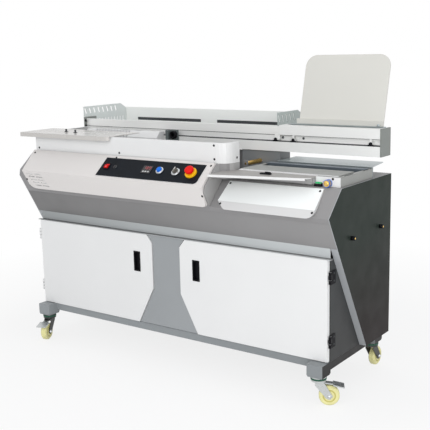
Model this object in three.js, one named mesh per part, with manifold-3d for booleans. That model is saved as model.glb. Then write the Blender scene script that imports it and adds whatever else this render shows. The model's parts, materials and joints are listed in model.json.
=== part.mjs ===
// Thermal binding machine for perfect-bound books, an assembly of separate named pieces.
// Millimetres, +Z up, the front faces -Y. Run by any program that shows the default export.
import * as THREE from 'three';
import { mergeVertices } from 'three/addons/utils/BufferGeometryUtils.js';
import Module from 'manifold-3d';

const wasm = await Module();
wasm.setup();

// Clearances and sheet thicknesses
const fitGap = 0.3;
const overrun = 10;
const sheet = 2.5;
const thinSheet = 1.5;
const cornerSteps = 6;
const pinSides = 12;
const smallSides = 16;
const roundSides = 24;
const rollerSides = 32;

// Body, driving sizes: the stations in a row give the left hood its length
const millingInset = 270;
const tankPitch = 220;
const tankLength = 300;
const housingGap = 80;
const housingLeftInset = 130;
const rightHoodLength = 500;
const rearY = 282;
const doorThickness = 16;
const doorBackGap = 2.4;
const flangeWidth = 28;
const sidePanelThickness = 3;
const wallThickness = 3;
const sillDepthFront = 10;
const sillHeight = 30;
const floorThickness = 6;
const footBlockLength = 64;
const footBlockHeight = 43;
const footBlockReach = 48;
const footBlockDepth = 62;
const doorGap = 3;
const doorHeight = 376;
const railHeight = 35;
const skirtDrop = 6;
const leanBottomY = 81;

// Casters
const wheelRadius = 37.5;
const wheelWidth = 26;
const wheelSides = 28;
const casterHeight = 115;
const casterTrail = 38;
const frontLeftTurnDegrees = -70;
const frontRightTurnDegrees = 30;
const rearLeftTurnDegrees = 75;
const rearRightTurnDegrees = 90;
const casterPlateSize = 60;
const casterPlateThickness = 5;
const bearingRadius = 28;
const bearingHeight = 12;
const forkSheet = 3;
const forkLegWidth = 26;
const forkHeelShare = 0.8;
const forkHeelDropShare = 0.7;
const forkSoleShare = 0.2;
const forkShoulderShare = 1.6;
const forkShoulderDropShare = 0.4;
const forkNeckShare = 1.3;
const wheelSideGap = 2;
const axleRadius = 5;
const hubRadius = 11;
const tyreEdge = 5;
const pedalPinRadius = 3;
const pedalPinX = 12;
const pedalPinDrop = 31;
const pedalArmWidth = 22;
const pedalPadWidth = 44;
const pedalPadStartX = 52;
const pedalTipX = 92;
const pedalTipDrop = 14;
const pedalSheet = 4;

// Upper body: two stepped hoods on one leaning front
const seamRise = 97;
const rightNoseY = -219;
const rightNoseRise = 21;
const rightFrontY = -126;
const rightDeckRise = 92;
const leftNoseRise = 68;
const leftFrontY = -156;
const leftDeckRise = 83;
const bulgeReach = 38;
const bulgeRadius = 50;
const bulgeDepth = 88;
const wellFrontInset = 60;
const wellSideStrip = 50;
const machineDeckRise = 18;
const machineDeckFrontInset = 25;
const knobRadius = 7;
const knobReach = 9;
const knobNeckRadius = 3.5;
const sideKnobRise = 21;
const sideKnobFrontInset = 332;
const sideKnobRearInset = 98;

// Doors
const doorReveal = 2;
const postTopHalf = 97;
const postWaistHalf = 71;
const postFootHalf = 152;
const postShiftX = -7;
const waistTopDrop = 32;
const waistFootDrop = 222;
const postRecess = 4;
const postStopReach = 16;
const postStopSheet = 2;
const handleWidth = 34;
const handleHeight = 84;
const handleInset = 63;
const handleDrop = 75;
const handleLip = 3;
const handleLipThickness = 1.5;
const handleWall = 2;
const hingeRadius = 5;
const hingePinRadius = 2.2;
const hingeOffsetX = 6;
const hingeHeight = 44;
const knucklesPerHinge = 3;
const hingeSheet = 2;
const hingeLeafDepth = 26;
const hingeLowRise = 77;
const hingeHighDrop = 64;

// Front covers on the hoods
const coverLift = 8;
const coverBottomRise = 19;
const noseBend = 16;
const coverFootY = -233;
const controlCoverLeftInset = 10;
const controlCoverTopInset = 4;
const controlCoverRightInset = 10;
const controlFoldRun = 4;
const controlFoldShift = 6;
const controlLeftFoldInset = 18;
const controlLeftLipInset = 34;
const controlLeftLipRise = 31;
const controlLeftFootInset = 42;
const controlLeftFootRun = 85;
const controlRightCorner = 18;
const rightCoverLeftInset = 39;
const rightCoverRightInset = 64;
const rightCoverTopDrop = 12;
const rightCoverTopY = -132;
const rightFoldY = -211;
const rightFoldRise = 25;
const rightCoverFlare = 5;
const rightCoverLipRise = 6;
const rightCoverLipRun = 24;
const rightCoverFootRun = 42;
const ventRows = 5;
const ventColumns = 2;
const ventLength = 36;
const ventHeight = 4;
const ventPitchX = 47;
const ventPitchZ = 12.5;
const ventLeftInset = 52;
const ventTopDrop = 1;
const ventStagger = 9;

// Control panel and its controls
const panelLength = 504;
const panelHeight = 96;
const panelRightInset = 38;
const panelFootRise = 16;
const panelThickness = 3;
const panelCorner = 18;
const controlRise = 64;
const switchLeftInset = 33;
const switchWidth = 18;
const switchHeight = 24;
const switchRise = 5;
const switchFrame = 3;
const lampInset = 76;
const lampRadius = 6;
const lampHeight = 4;
const displayPitch = 65;
const displayWidth = 48;
const displayHeight = 40;
const displayRise = 1.5;
const startPitch = 78;
const startRadius = 11;
const startBezelRadius = 14;
const bezelHeight = 6;
const startRise = 5;
const startTravel = 3;
const selectorPitch = 74;
const selectorRadius = 12;
const selectorBezelRadius = 15;
const selectorGripWidth = 7;
const selectorRise = 12;
const stopRightInset = 45;
const stopBaseRadius = 24;
const stopBaseHeight = 6;
const stopStemRadius = 10;
const stopHeadRadius = 17.5;
const stopHeadHeight = 14;
const stopHeadTopShare = 0.72;
const stopLift = 8;
const stopTravel = 4;

// Splash cover and left tray
const splashHeight = 77;
const splashInset = 6;
const splashLeftInset = 9;
const splashFlange = 14;
const splashReturnGap = 10;
const trayOverhang = 60;
const trayLength = 526;
const trayFrontReach = 20;
const trayDepth = 196;
const trayRim = 18;
const trayCorner = 46;

// Beam, carriage and clamp
const beamInset = 92;
const beamRise = 12;
const beamLeftReach = 26;
const railLowerHeight = 39;
const railGrooveHeight = 27;
const railUpperHeight = 33;
const railDepth = 23;
const railUpperInset = 12;
const railGrooveInset = 16;
const rearRailDepth = 8;
const rearRailHeight = 40;
const rearRailRise = 49;
const beamDepth = 80;
const endPlateThickness = 6;
const endPlateHeight = 106;
const carriageLength = 438;
const carriageBarHeight = 38;
const carriageBarDepth = 13;
const carriageBarProud = 2;
const carriageTopThickness = 5;
const carriageEnd = 14;
const jawThickness = 5;
const jawBottomRise = 6;
const jawHangerReach = 7;
const jawHangerHeight = 3;
const jawHangerDepth = 10;
const jawPlay = 7;
const glideRadius = 8;
const glideWidth = 9;
const glideLugHeight = 30;
const glideOffsets = [-17, 65, 400];
const blockLength = 60;
const blockLegThickness = 3.5;
const blockInset = 40;
const blockOuterLegDrop = 18;

// Book rest on the carriage
const restWidth = 366;
const restHeight = 275;
const restThickness = 4;
const restPlateInset = 6;
const restLeanDegrees = 14;
const restCorner = 48;
const restBarHeight = 22;
const restBarOverhang = 10;
const restInsetRight = 20;

// Rear guard
const guardSheet = 2;
const guardLeftHeight = 56;
const guardReach = 220;
const guardBackHeight = 85;
const guardRightInset = 10;
const guardFrontClear = 14;
const guardChamfer = 40;
const guardChamferDrop = 24;
const guardLouvrePitch = 30;
const guardLowLouvrePitch = 21;
const guardLouvreMargin = 13;
const guardLouvreWidth = 8;
const guardLowLouvreWidth = 5;
const guardLouvreHeight = 26;
const guardTallLouvreHeight = 31;
const guardTopLouvreDrop = 21;
const guardLowLouvreRise = 31;
const guardLouvreLeanDegrees = 18;
const guardSlotHeight = 14;
const guardSlotRise = 30;
const guardSlotInset = 77;
const guardSlotBreakStart = 468;
const guardSlotBreak = 93;

// Milling, gluing and dust hood
const dustHoodLeftInset = 26;
const dustHoodLength = 436;
const dustHoodDepth = 53.5;
const dustHoodRearGap = 2.5;
const dustHoodHeight = 70;
const dustHoodSlope = 26;
const dustSlotCount = 12;
const dustSlotPitch = 18;
const dustSlotWidth = 6;
const dustSlotLength = 30;
const dustSlotInset = 60;
const dustSlotDrop = 42;
const dustPortLength = 50;
const dustPortWidth = 18;
const dustPortInsets = [220, 294];
const gussetThickness = 4;
const gussetInsets = [374, 414];
const gussetHeight = 44;
const cutterReach = 48;
const cutterRadius = 34;
const cutterThickness = 9;
const cutterTeeth = 12;
const cutterToothWidth = 7;
const cutterToothReach = 4;
const cutterToothRise = 4;
const cutterShaftRadius = 9;
const cutterShaftLength = 8;
const cutterTopDrop = 5;
const motorRadius = 36;
const motorCapRadius = 28;
const motorCapHeight = 12;
const tankWall = 8;
const tankTopDrop = 14;
const tankDepth = 72;
const tankFrontGap = 4;
const tankRearGap = 3;
const glueRollerRadius = 34;
const glueRollerTopDrop = 6;
const glueRollerInsets = [90, 190];
const glueShaftRadius = 7;
const glueRollerSideGap = 4;
const housingRightReach = 53;
const housingFrontGap = 10;
const feedRollerInset = 42;
const feedRollerRadius = 9;
const feedRollerRise = 27;
const feedRollerLength = 104;
const feedShaftRadius = 5;
const feedBracketWidth = 20;
const feedBracketThickness = 5;
const feedBracketTop = 14;

// Nipping station
const nipFrameInset = 50;
const nipFrameRightInset = 12;
const nipFrontY = -93;
const nipDepth = 233;
const nipHeight = 35;
const nipFlange = 14;
const nipBoxReach = 19;
const nipBoxLength = 97;
const nipSlotWidth = 8;
const nipSlotFrontShares = [0.1, 0.42];
const nipSlotRearShares = [0.72, 0.96];
const platenThickness = 3;
const platenDepth = 118;
const platenRightInset = 17;
const nipJawInset = 52;
const nipJawDepth = 46;
const nipJawHeight = 24;
const rearPlatenGap = 3;
const rearPlatenLeftInset = 30;
const rearPlatenFoot = 16;
const rearPlatenTaper = 22;
const rearSkirtLength = 250;
const coverTableRise = 30;
const coverTableDepth = 149;
const coverTableRightDepth = 68;
const coverTableLeftInset = 12;
const coverTableCorner = 16;
const coverTableLip = 7;
const coverTablePostWidth = 24;
const layLength = 44;
const layDepth = 12;
const layHeight = 10;
const layInset = 168;
const layRearInset = 57;
const thicknessKnobRadius = 13;
const thicknessKnobLength = 20;
const thicknessKnobInset = 45;
const thicknessKnobRise = 14;
const thicknessKnobRibs = 16;
const thicknessKnobRibRadius = 1.6;
const thicknessKnobRibLength = 14;
const nipButtonBaseLength = 28;
const nipButtonBaseHeight = 11;
const nipButtonBaseDepth = 13;
const nipButtonInset = 0;
const nipButtonSide = 9;
const nipButtonRise = 4;
const nipButtonTravel = 2.5;

// Places worked out from the sizes above
const leftHoodLength = millingInset + tankPitch + tankLength + housingGap + housingLeftInset;
const halfLength = (leftHoodLength + rightHoodLength) / 2;
const cabinetHalf = halfLength - flangeWidth;
const sillTopZ = casterHeight + footBlockHeight;
const doorBottomZ = sillTopZ + doorGap;
const doorTopZ = doorBottomZ + doorHeight;
const railBottomZ = doorTopZ + doorGap;
const railTopZ = railBottomZ + railHeight;
const leanBottomZ = sillTopZ - skirtDrop;
const seamZ = railTopZ + seamRise;
const rightNoseZ = seamZ + rightNoseRise;
const rightDeckZ = rightNoseZ + rightDeckRise;
const leftNoseZ = rightNoseZ + leftNoseRise;
const leftDeckZ = leftNoseZ + leftDeckRise;
const machineDeckZ = seamZ + machineDeckRise;
const coverBottomZ = seamZ + coverBottomRise;
const beamBottomZ = leftDeckZ + beamRise;
const leanY = (z) => leanBottomY
  + (z - leanBottomZ) * (rightNoseY - leanBottomY) / (rightNoseZ - leanBottomZ);
const cabinetFrontY = leanY(railTopZ);
const wellFrontY = leftFrontY + wellFrontInset;
const machineDeckFrontY = leanY(machineDeckZ) + machineDeckFrontInset;
const beamFrontY = rearY - beamInset;
const beamRearY = beamFrontY + beamDepth;
const guardBackY = beamRearY + guardReach;
const dustRearY = beamFrontY - dustHoodRearGap;
const dustHoodFrontY = dustRearY - dustHoodDepth;
const splashReturnY = beamFrontY - splashReturnGap;
const trayFrontY = leftFrontY - trayFrontReach;
const trayRearY = trayFrontY + trayDepth;
const cutterY = beamFrontY + cutterReach;
const tankFrontY = beamFrontY + tankFrontGap;
const housingFrontY = beamFrontY + housingFrontGap;
const feedRollerFrontY = housingFrontY - feedRollerLength;
const nipRearY = nipFrontY + nipDepth;
const nipBoxFrontY = nipFrontY - nipBoxReach;
const platenRearY = nipFrontY + platenDepth;
const nipJawFrontY = nipRearY - nipJawInset;
const rearPlatenFrontY = nipRearY + rearPlatenGap;
const coverTableFrontY = nipFrontY - coverTableDepth;
const doorBackY = cabinetFrontY - doorBackGap;
const doorFaceY = doorBackY - doorThickness;
const sillFaceY = cabinetFrontY - sillDepthFront;
const leftNoseY = leanY(leftNoseZ);
const stepX = halfLength - rightHoodLength;
const panelInnerX = halfLength - sidePanelThickness - fitGap;
const machineDeckTopZ = machineDeckZ + sheet;
const rearPanelY = rearY - sheet;
const insideRearY = rearPanelY - fitGap;
const beamLeftX = -halfLength - beamLeftReach;
const beamTopZ = beamBottomZ + railLowerHeight + railGrooveHeight + railUpperHeight;
const endPlateLeftX = beamLeftX + endPlateThickness;
const endPlateRightX = halfLength - endPlateThickness;
const splashTopZ = leftDeckZ + fitGap + splashHeight;
const guardSkirtZ = beamBottomZ + rearRailRise;
const guardBackTopZ = guardSkirtZ + guardBackHeight;
const guardRightX = stepX - guardRightInset;
const guardSlotZ = guardSkirtZ + guardSlotRise;
const cutterX = millingInset - halfLength;
const tankLeftX = cutterX + tankPitch;
const housingLeftX = stepX - housingLeftInset;
const housingRightX = stepX + housingRightReach;
const feedRollerX = stepX - feedRollerInset;
const feedRollerZ = rightDeckZ + feedRollerRise;
const coverTableZ = rightDeckZ + coverTableRise;
const stopInset = panelLength - stopRightInset;
const selectorInset = stopInset - selectorPitch;
const startInset = selectorInset - startPitch;
const displayInset = startInset - displayPitch;
const hingeX = cabinetHalf + hingeOffsetX;
const hingeY = doorFaceY + hingeRadius;

// Finishes
const finish = (color, roughness, metalness) =>
  new THREE.MeshStandardMaterial({ color, roughness, metalness });
const bodyGrey = finish(0x919090, 0.55, 0.1);
const frameGrey = finish(0xa3a6aa, 0.55, 0.1);
const panelDark = finish(0x40463f, 0.6, 0.1);
const coverWhite = finish(0xe6e5e5, 0.45, 0.05);
const restGrey = finish(0xd9d7d2, 0.5, 0.05);
const guardGrey = finish(0xcfd6d4, 0.5, 0.3);
const railWhite = finish(0xe2e8ea, 0.4, 0.2);
const steel = finish(0xb4bbc0, 0.35, 0.8);
const darkSteel = finish(0x5a5e60, 0.5, 0.7);
const zinc = finish(0xc3c6c4, 0.35, 0.8);
const wheelCream = finish(0xe6e196, 0.5, 0.0);
const plasticBlack = finish(0x1b1c1e, 0.5, 0.0);
const plasticRed = finish(0xd8231f, 0.4, 0.0);
const plasticYellow = finish(0xf0c010, 0.45, 0.0);
const plasticBlue = finish(0x2f78c8, 0.4, 0.0);
const plasticGreen = finish(0x17b35a, 0.4, 0.0);
const brass = finish(0xc69a45, 0.35, 0.8);

// Solids: three.js geometry goes in, manifold-3d joins and cuts, a named mesh comes out
function solidOf(geometry) {
  geometry.deleteAttribute('normal');
  geometry.deleteAttribute('uv');
  const merged = mergeVertices(geometry);
  return new wasm.Manifold(new wasm.Mesh({
    numProp: 3,
    vertProperties: Float32Array.from(merged.attributes.position.array),
    triVerts: Uint32Array.from(merged.index.array),
  }));
}

function meshOf(name, solid, material) {
  const data = solid.getMesh();
  const geometry = new THREE.BufferGeometry();
  geometry.setAttribute('position', new THREE.BufferAttribute(Float32Array.from(data.vertProperties), 3));
  geometry.setIndex(new THREE.BufferAttribute(Uint32Array.from(data.triVerts), 1));
  geometry.computeVertexNormals();
  const mesh = new THREE.Mesh(geometry, material);
  mesh.name = name;
  return mesh;
}

const joined = (solids) => solids.reduce((sum, solid) => sum.add(solid));

function box(x, y, z) {
  const geometry = new THREE.BoxGeometry(x[1] - x[0], y[1] - y[0], z[1] - z[0]);
  geometry.translate((x[0] + x[1]) / 2, (y[0] + y[1]) / 2, (z[0] + z[1]) / 2);
  return solidOf(geometry);
}

function shapeOf(points) {
  return points instanceof THREE.Shape
    ? points
    : new THREE.Shape(points.map(([u, v]) => new THREE.Vector2(u, v)));
}

// A prism along X takes its outline as (y, z), along Y as (x, z) and along Z as (x, y)
const prismBases = {
  x: [new THREE.Vector3(0, 1, 0), new THREE.Vector3(0, 0, 1), new THREE.Vector3(1, 0, 0)],
  y: [new THREE.Vector3(1, 0, 0), new THREE.Vector3(0, 0, 1), new THREE.Vector3(0, -1, 0)],
  z: [new THREE.Vector3(1, 0, 0), new THREE.Vector3(0, 1, 0), new THREE.Vector3(0, 0, 1)],
};

function prism(along, outline, from, to) {
  const geometry = new THREE.ExtrudeGeometry(shapeOf(outline), {
    depth: to - from, bevelEnabled: false, curveSegments: cornerSteps,
  });
  const basis = prismBases[along];
  geometry.applyMatrix4(new THREE.Matrix4().makeBasis(...basis));
  geometry.translate(...basis[2].clone().multiplyScalar(along === 'y' ? -to : from).toArray());
  return solidOf(geometry);
}

const cylinderTurns = {
  x: (geometry) => geometry.rotateZ(Math.PI / 2),
  y: (geometry) => geometry,
  z: (geometry) => geometry.rotateX(Math.PI / 2),
};

function cylinder(along, centre, radius, length, sides = roundSides, topRadius = radius) {
  const geometry = new THREE.CylinderGeometry(topRadius, radius, length, sides);
  cylinderTurns[along](geometry);
  geometry.translate(...centre);
  return solidOf(geometry);
}

// A rectangle whose corners are rounded by four radii: low left, low right, high right, high left
function roundedRectangle([u0, u1], [v0, v1], [lowLeft, lowRight, highRight, highLeft]) {
  const shape = new THREE.Shape();
  const corner = (centreU, centreV, radius, start) => {
    if (radius > 0) {
      shape.absarc(centreU, centreV, radius, start, start + Math.PI / 2, false);
    } else {
      shape.lineTo(centreU, centreV);
    }
  };
  shape.moveTo(u0 + lowLeft, v0);
  corner(u1 - lowRight, v0 + lowRight, lowRight, -Math.PI / 2);
  corner(u1 - highRight, v1 - highRight, highRight, 0);
  corner(u0 + highLeft, v1 - highLeft, highLeft, Math.PI / 2);
  corner(u0 + lowLeft, v0 + lowLeft, lowLeft, Math.PI);
  return shape;
}

// Moves an open line of points sideways, to its left for a positive distance
function offsetLine(points, distance) {
  const normals = points.slice(1).map(([u, v], i) => {
    const du = u - points[i][0];
    const dv = v - points[i][1];
    const length = Math.hypot(du, dv);
    return [-dv / length, du / length];
  });
  return points.map(([u, v], i) => {
    const before = normals[Math.max(i - 1, 0)];
    const after = normals[Math.min(i, normals.length - 1)];
    const scale = distance / (1 + before[0] * after[0] + before[1] * after[1]);
    return [u + (before[0] + after[0]) * scale, v + (before[1] + after[1]) * scale];
  });
}

const band = (points, near, far) => [...offsetLine(points, near), ...offsetLine(points, far).reverse()];

const arcPoints = (centreU, centreV, radius, start, end) =>
  Array.from({ length: cornerSteps + 1 }, (_, i) => {
    const angle = start + (end - start) * i / cornerSteps;
    return [centreU + radius * Math.cos(angle), centreV + radius * Math.sin(angle)];
  });

const mirrorX = ([from, to], side) => (side > 0 ? [from, to] : [-to, -from]);

const pieces = [];
const place = (name, solid, material) => pieces.push(meshOf(name, solid, material));

// Side views of the two hoods, from the seam over the nose to the deck; the left nose is bent in two
const towards = ([y, z], [endY, endZ], run) => {
  const share = run / Math.hypot(endY - y, endZ - z);
  return [y + (endY - y) * share, z + (endZ - z) * share];
};
const leftSeam = [leanY(seamZ), seamZ];
const leftNose = [leftNoseY, leftNoseZ];
const leftShoulder = [leftFrontY, leftDeckZ];
const leftBends = [towards(leftNose, leftSeam, noseBend), towards(leftNose, leftShoulder, noseBend)];
const leftProfile = [leftSeam, ...leftBends, leftShoulder, [wellFrontY, leftDeckZ]];
const rightProfile = [
  [leanY(seamZ), seamZ], [rightNoseY, rightNoseZ], [rightFrontY, rightDeckZ], [nipFrontY, rightDeckZ]];

// Base frame with foot blocks and caster plates
const blockCentreX = cabinetHalf - footBlockLength / 2;
const frontBlockY = sillFaceY - footBlockReach;
const casterFrontY = frontBlockY + footBlockDepth / 2;
const casterRearY = rearY - footBlockDepth / 2;

function footBlock(side, y) {
  const x = mirrorX([cabinetHalf - footBlockLength, cabinetHalf], side);
  const block = box(x, y, [casterHeight, sillTopZ]);
  const centreX = side * blockCentreX;
  const centreY = (y[0] + y[1]) / 2;
  const half = casterPlateSize / 2;
  const plate = box([centreX - half, centreX + half], [centreY - half, centreY + half],
    [casterHeight - casterPlateThickness, casterHeight + fitGap]);
  return block.add(plate);
}

function makeBaseFrame() {
  const floor = box([-cabinetHalf, cabinetHalf], [sillFaceY, rearY], [sillTopZ - sillHeight, sillTopZ]);
  const hollow = box([-cabinetHalf + sheet, cabinetHalf - sheet], [sillFaceY + sheet, rearY - sheet],
    [sillTopZ - sillHeight - overrun, sillTopZ - floorThickness]);
  const blocks = [-1, 1].flatMap((side) => [
    footBlock(side, [frontBlockY, frontBlockY + footBlockDepth]),
    footBlock(side, [rearY - footBlockDepth, rearY])]);
  place('base_frame', joined([floor.subtract(hollow), ...blocks]), bodyGrey);
}

// Door hinges: the knuckle and pin on the cabinet wall, two knuckles on the door
const hingeHeights = [doorBottomZ + hingeLowRise, doorTopZ - hingeHighDrop];
const knuckle = hingeHeight / knucklesPerHinge;

function hingeOnWall(side, z) {
  const x = side * hingeX;
  const barrel = cylinder('z', [x, hingeY, z], hingeRadius, knuckle - fitGap * 2, smallSides);
  const pin = cylinder('z', [x, hingeY, z], hingePinRadius, hingeHeight, pinSides);
  const leafX = mirrorX([cabinetHalf - fitGap, cabinetHalf + hingeSheet], side);
  const leaf = box(leafX, [cabinetFrontY, cabinetFrontY + hingeLeafDepth],
    [z - hingeHeight / 2, z + hingeHeight / 2]);
  const arm = box(mirrorX([cabinetHalf, hingeX], side), [hingeY, cabinetFrontY + hingeSheet],
    [z - knuckle / 2 + fitGap, z + knuckle / 2 - fitGap]);
  return joined([barrel, pin, leaf, arm]);
}

function hingeOnDoor(side, z) {
  const knuckles = [-1, 1].map((end) => {
    const centre = z + end * knuckle;
    const barrel = cylinder('z', [side * hingeX, hingeY, centre], hingeRadius, knuckle - fitGap * 2,
      smallSides);
    const tab = box(mirrorX([cabinetHalf - doorReveal - hingeSheet, hingeX], side),
      [hingeY - hingeSheet / 2, hingeY + hingeSheet / 2],
      [centre - knuckle / 2 + fitGap, centre + knuckle / 2 - fitGap]);
    return barrel.add(tab);
  });
  const bore = cylinder('z', [side * hingeX, hingeY, z], hingePinRadius + fitGap, hingeHeight + overrun,
    pinSides);
  return { add: joined(knuckles), cut: bore };
}

// Cabinet walls, each with the fixed halves of its door's hinges
function makeWall(name, side) {
  const wall = box(mirrorX([cabinetHalf - wallThickness, cabinetHalf], side),
    [cabinetFrontY, insideRearY], [sillTopZ + fitGap, machineDeckZ - fitGap]);
  const room = box(mirrorX([cabinetHalf - wallThickness - overrun, cabinetHalf + overrun], side),
    [cabinetFrontY - overrun, cabinetFrontY + doorThickness * 2], [railBottomZ - fitGap, machineDeckZ]);
  const hinges = hingeHeights.map((z) => hingeOnWall(side, z));
  place(name, joined([wall.subtract(room), ...hinges]), panelDark);
}

function makeRearPanel() {
  const outline = [
    [-panelInnerX, sillTopZ + fitGap], [panelInnerX, sillTopZ + fitGap],
    [panelInnerX, rightDeckZ - sheet - fitGap], [stepX - fitGap, rightDeckZ - sheet - fitGap],
    [stepX - fitGap, leftDeckZ - sheet - fitGap], [-panelInnerX, leftDeckZ - sheet - fitGap]];
  place('rear_panel', prism('y', outline, rearPanelY, rearY), bodyGrey);
}

// The centre post: a waisted front plate, a stop plate behind the doors and a divider
const waistTopZ = doorTopZ - waistTopDrop;
const waistFootZ = doorTopZ - waistFootDrop;

function postEdge(grow) {
  return [
    [postFootHalf + grow, doorBottomZ], [postWaistHalf + grow, waistFootZ],
    [postWaistHalf + grow, waistTopZ], [postTopHalf + grow, doorTopZ]];
}

function makeCentrePost() {
  const plate = (right, y0, y1) => {
    const left = right.map(([x, z]) => [-x, z]).reverse();
    return prism('y', [...right, ...left].map(([x, z]) => [x + postShiftX, z]), y0, y1);
  };
  const front = plate(postEdge(-doorGap), doorFaceY + postRecess, cabinetFrontY + fitGap);
  const stop = plate(postEdge(postStopReach), cabinetFrontY, cabinetFrontY + postStopSheet);
  const foot = plate([[postFootHalf, sillTopZ + fitGap], [postFootHalf, doorBottomZ + fitGap]],
    cabinetFrontY, cabinetFrontY + postStopSheet);
  const divider = box([-wallThickness / 2, wallThickness / 2], [cabinetFrontY + fitGap, insideRearY],
    [sillTopZ + fitGap, machineDeckZ - fitGap]);
  const clearRail = box([-postFootHalf, postFootHalf],
    [cabinetFrontY - overrun, cabinetFrontY + doorThickness * 2], [railBottomZ - fitGap, machineDeckZ]);
  place('centre_post', joined([front, stop, foot, divider]).subtract(clearRail), frameGrey);
}

// Front fascia: the upright rail over the doors bent into the leaning lower front
function makeFrontFascia() {
  const line = [[cabinetFrontY, railBottomZ], [cabinetFrontY, railTopZ], [leanY(seamZ), seamZ - fitGap]];
  const bent = prism('x', band(line, -sheet, 0), -cabinetHalf + fitGap, cabinetHalf - fitGap);
  const upper = prism('x', band(line.slice(1), -sheet, 0), -panelInnerX, panelInnerX);
  const flangeRoom = [-1, 1].map((side) =>
    box(mirrorX([cabinetHalf - fitGap, halfLength], side), [leanY(seamZ) - overrun, rearY],
      [railTopZ - overrun, railTopZ + fitGap]));
  place('front_fascia', joined([bent, upper]).subtract(joined(flangeRoom)), frameGrey);
}

// Side panels with a folded flange down the leaning edge
function makeSidePanel(name, side, nose, frontY, deckZ) {
  const outline = [[rearY, leanBottomZ], [rearY, deckZ], [frontY, deckZ], ...nose,
    [leanBottomY, leanBottomZ]];
  const panel = prism('x', outline, ...mirrorX([halfLength - sidePanelThickness, halfLength], side));
  const fold = [[leanBottomY, leanBottomZ], [leanY(railTopZ), railTopZ - fitGap]];
  const flange = prism('x', band(fold, -sheet, 0), ...mirrorX([cabinetHalf + fitGap, halfLength], side));
  const knobs = side < 0 ? [] : [sideKnobFrontInset, sideKnobRearInset].map((inset) => {
    const y = rearY - inset;
    const z = railTopZ + sideKnobRise;
    const neck = cylinder('x', [halfLength + knobReach / 2 - fitGap, y, z], knobNeckRadius, knobReach,
      pinSides);
    const head = cylinder('x', [halfLength + knobReach, y, z], knobRadius, knobReach / 2, smallSides);
    return neck.add(head);
  });
  place(name, joined([panel, flange, ...knobs]), panelDark);
}

// Left hood: bent front, deck strips round the well, the stepped end and the bulge under the splash cover
const bulgeX = stepX + bulgeReach;
const bulgeBackY = leftFrontY + bulgeDepth;

function bulgeLine() {
  return [
    ...arcPoints(bulgeX - bulgeRadius, leftFrontY + splashInset + bulgeRadius, bulgeRadius, -Math.PI / 2, 0),
    [bulgeX, bulgeBackY], [stepX - fitGap * 2, bulgeBackY]];
}

function makeLeftHood() {
  const bent = prism('x', band(leftProfile, -sheet, 0), -panelInnerX, stepX);
  const side = box([-panelInnerX, -panelInnerX + wellSideStrip], [wellFrontY - overrun, rearY],
    [leftDeckZ - sheet, leftDeckZ]);
  const endOutline = [...leftProfile.slice(1), [wellFrontY, rightDeckZ + fitGap],
    [rightFrontY, rightDeckZ + fitGap], [rightNoseY, rightNoseZ]];
  const end = prism('x', endOutline, stepX - sheet, stepX);
  const bulgeOutline = [...bulgeLine(), [stepX - wellSideStrip, bulgeBackY],
    [stepX - wellSideStrip, leftFrontY + splashInset]];
  const bulgeDeck = prism('z', bulgeOutline, leftDeckZ - sheet, leftDeckZ);
  const bulgeWall = prism('z', band(bulgeLine(), 0, sheet), rightDeckZ + fitGap, leftDeckZ);
  const room = box([stepX - fitGap, bulgeX], [leftFrontY - overrun, rightFrontY],
    [seamZ, rightDeckZ + fitGap]);
  place('left_hood', joined([bent, side, end, bulgeDeck, bulgeWall]).subtract(room), bodyGrey);
}

const nipLeftX = stepX + nipFrameInset;
const nipRightX = halfLength - nipFrameRightInset;

function makeRightHood() {
  const bent = prism('x', band(rightProfile, -sheet, 0), stepX + fitGap, panelInnerX);
  const deck = box([stepX + fitGap, panelInnerX], [nipFrontY - overrun, rearY],
    [rightDeckZ - sheet, rightDeckZ]);
  const opening = box([nipLeftX + nipFlange, nipRightX - nipFlange],
    [nipFrontY + nipFlange, nipRearY - nipFlange], [rightDeckZ - overrun, rightDeckZ + overrun]);
  const housingRoom = box([stepX - overrun, housingRightX + fitGap],
    [housingFrontY - fitGap, rearY + overrun], [rightDeckZ - overrun, rightDeckZ + overrun]);
  place('right_hood', bent.add(deck).subtract(opening).subtract(housingRoom), bodyGrey);
}

// Machine deck inside the hoods, with the bracket for the cover feed roller
function makeMachineDeck() {
  const deck = box([-panelInnerX, panelInnerX], [machineDeckFrontY, insideRearY],
    [machineDeckZ, machineDeckTopZ]);
  const half = feedBracketWidth / 2;
  const bracket = box([feedRollerX - half, feedRollerX + half],
    [feedRollerFrontY - fitGap - feedBracketThickness, feedRollerFrontY - fitGap],
    [machineDeckZ, feedRollerZ + feedBracketTop]);
  const bore = cylinder('y', [feedRollerX, feedRollerFrontY, feedRollerZ], feedShaftRadius + fitGap,
    overrun * 4, smallSides);
  place('machine_deck', deck.add(bracket).subtract(bore), bodyGrey);
}

// Doors: folded pans with a waisted inner edge, a recessed pull and hinge knuckles
function doorOutline(side, inset) {
  const [footX, waistFootX, waistTopX, topX] = postEdge(side * postShiftX).map(([x]) => x);
  const outer = cabinetHalf - doorReveal - inset;
  const points = [
    [footX + inset, doorBottomZ + inset], [outer, doorBottomZ + inset], [outer, doorTopZ - inset],
    [topX + inset, doorTopZ - inset], [waistTopX + inset, waistTopZ], [waistFootX + inset, waistFootZ]];
  return points.map(([x, z]) => [side * x, z]);
}

function handleBox(side, grow, y) {
  const centreX = postShiftX + side * (postWaistHalf + handleInset + handleWidth / 2);
  const topZ = doorTopZ - handleDrop;
  return box([centreX - handleWidth / 2 - grow, centreX + handleWidth / 2 + grow], y,
    [topZ - handleHeight - grow, topZ + grow]);
}

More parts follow.
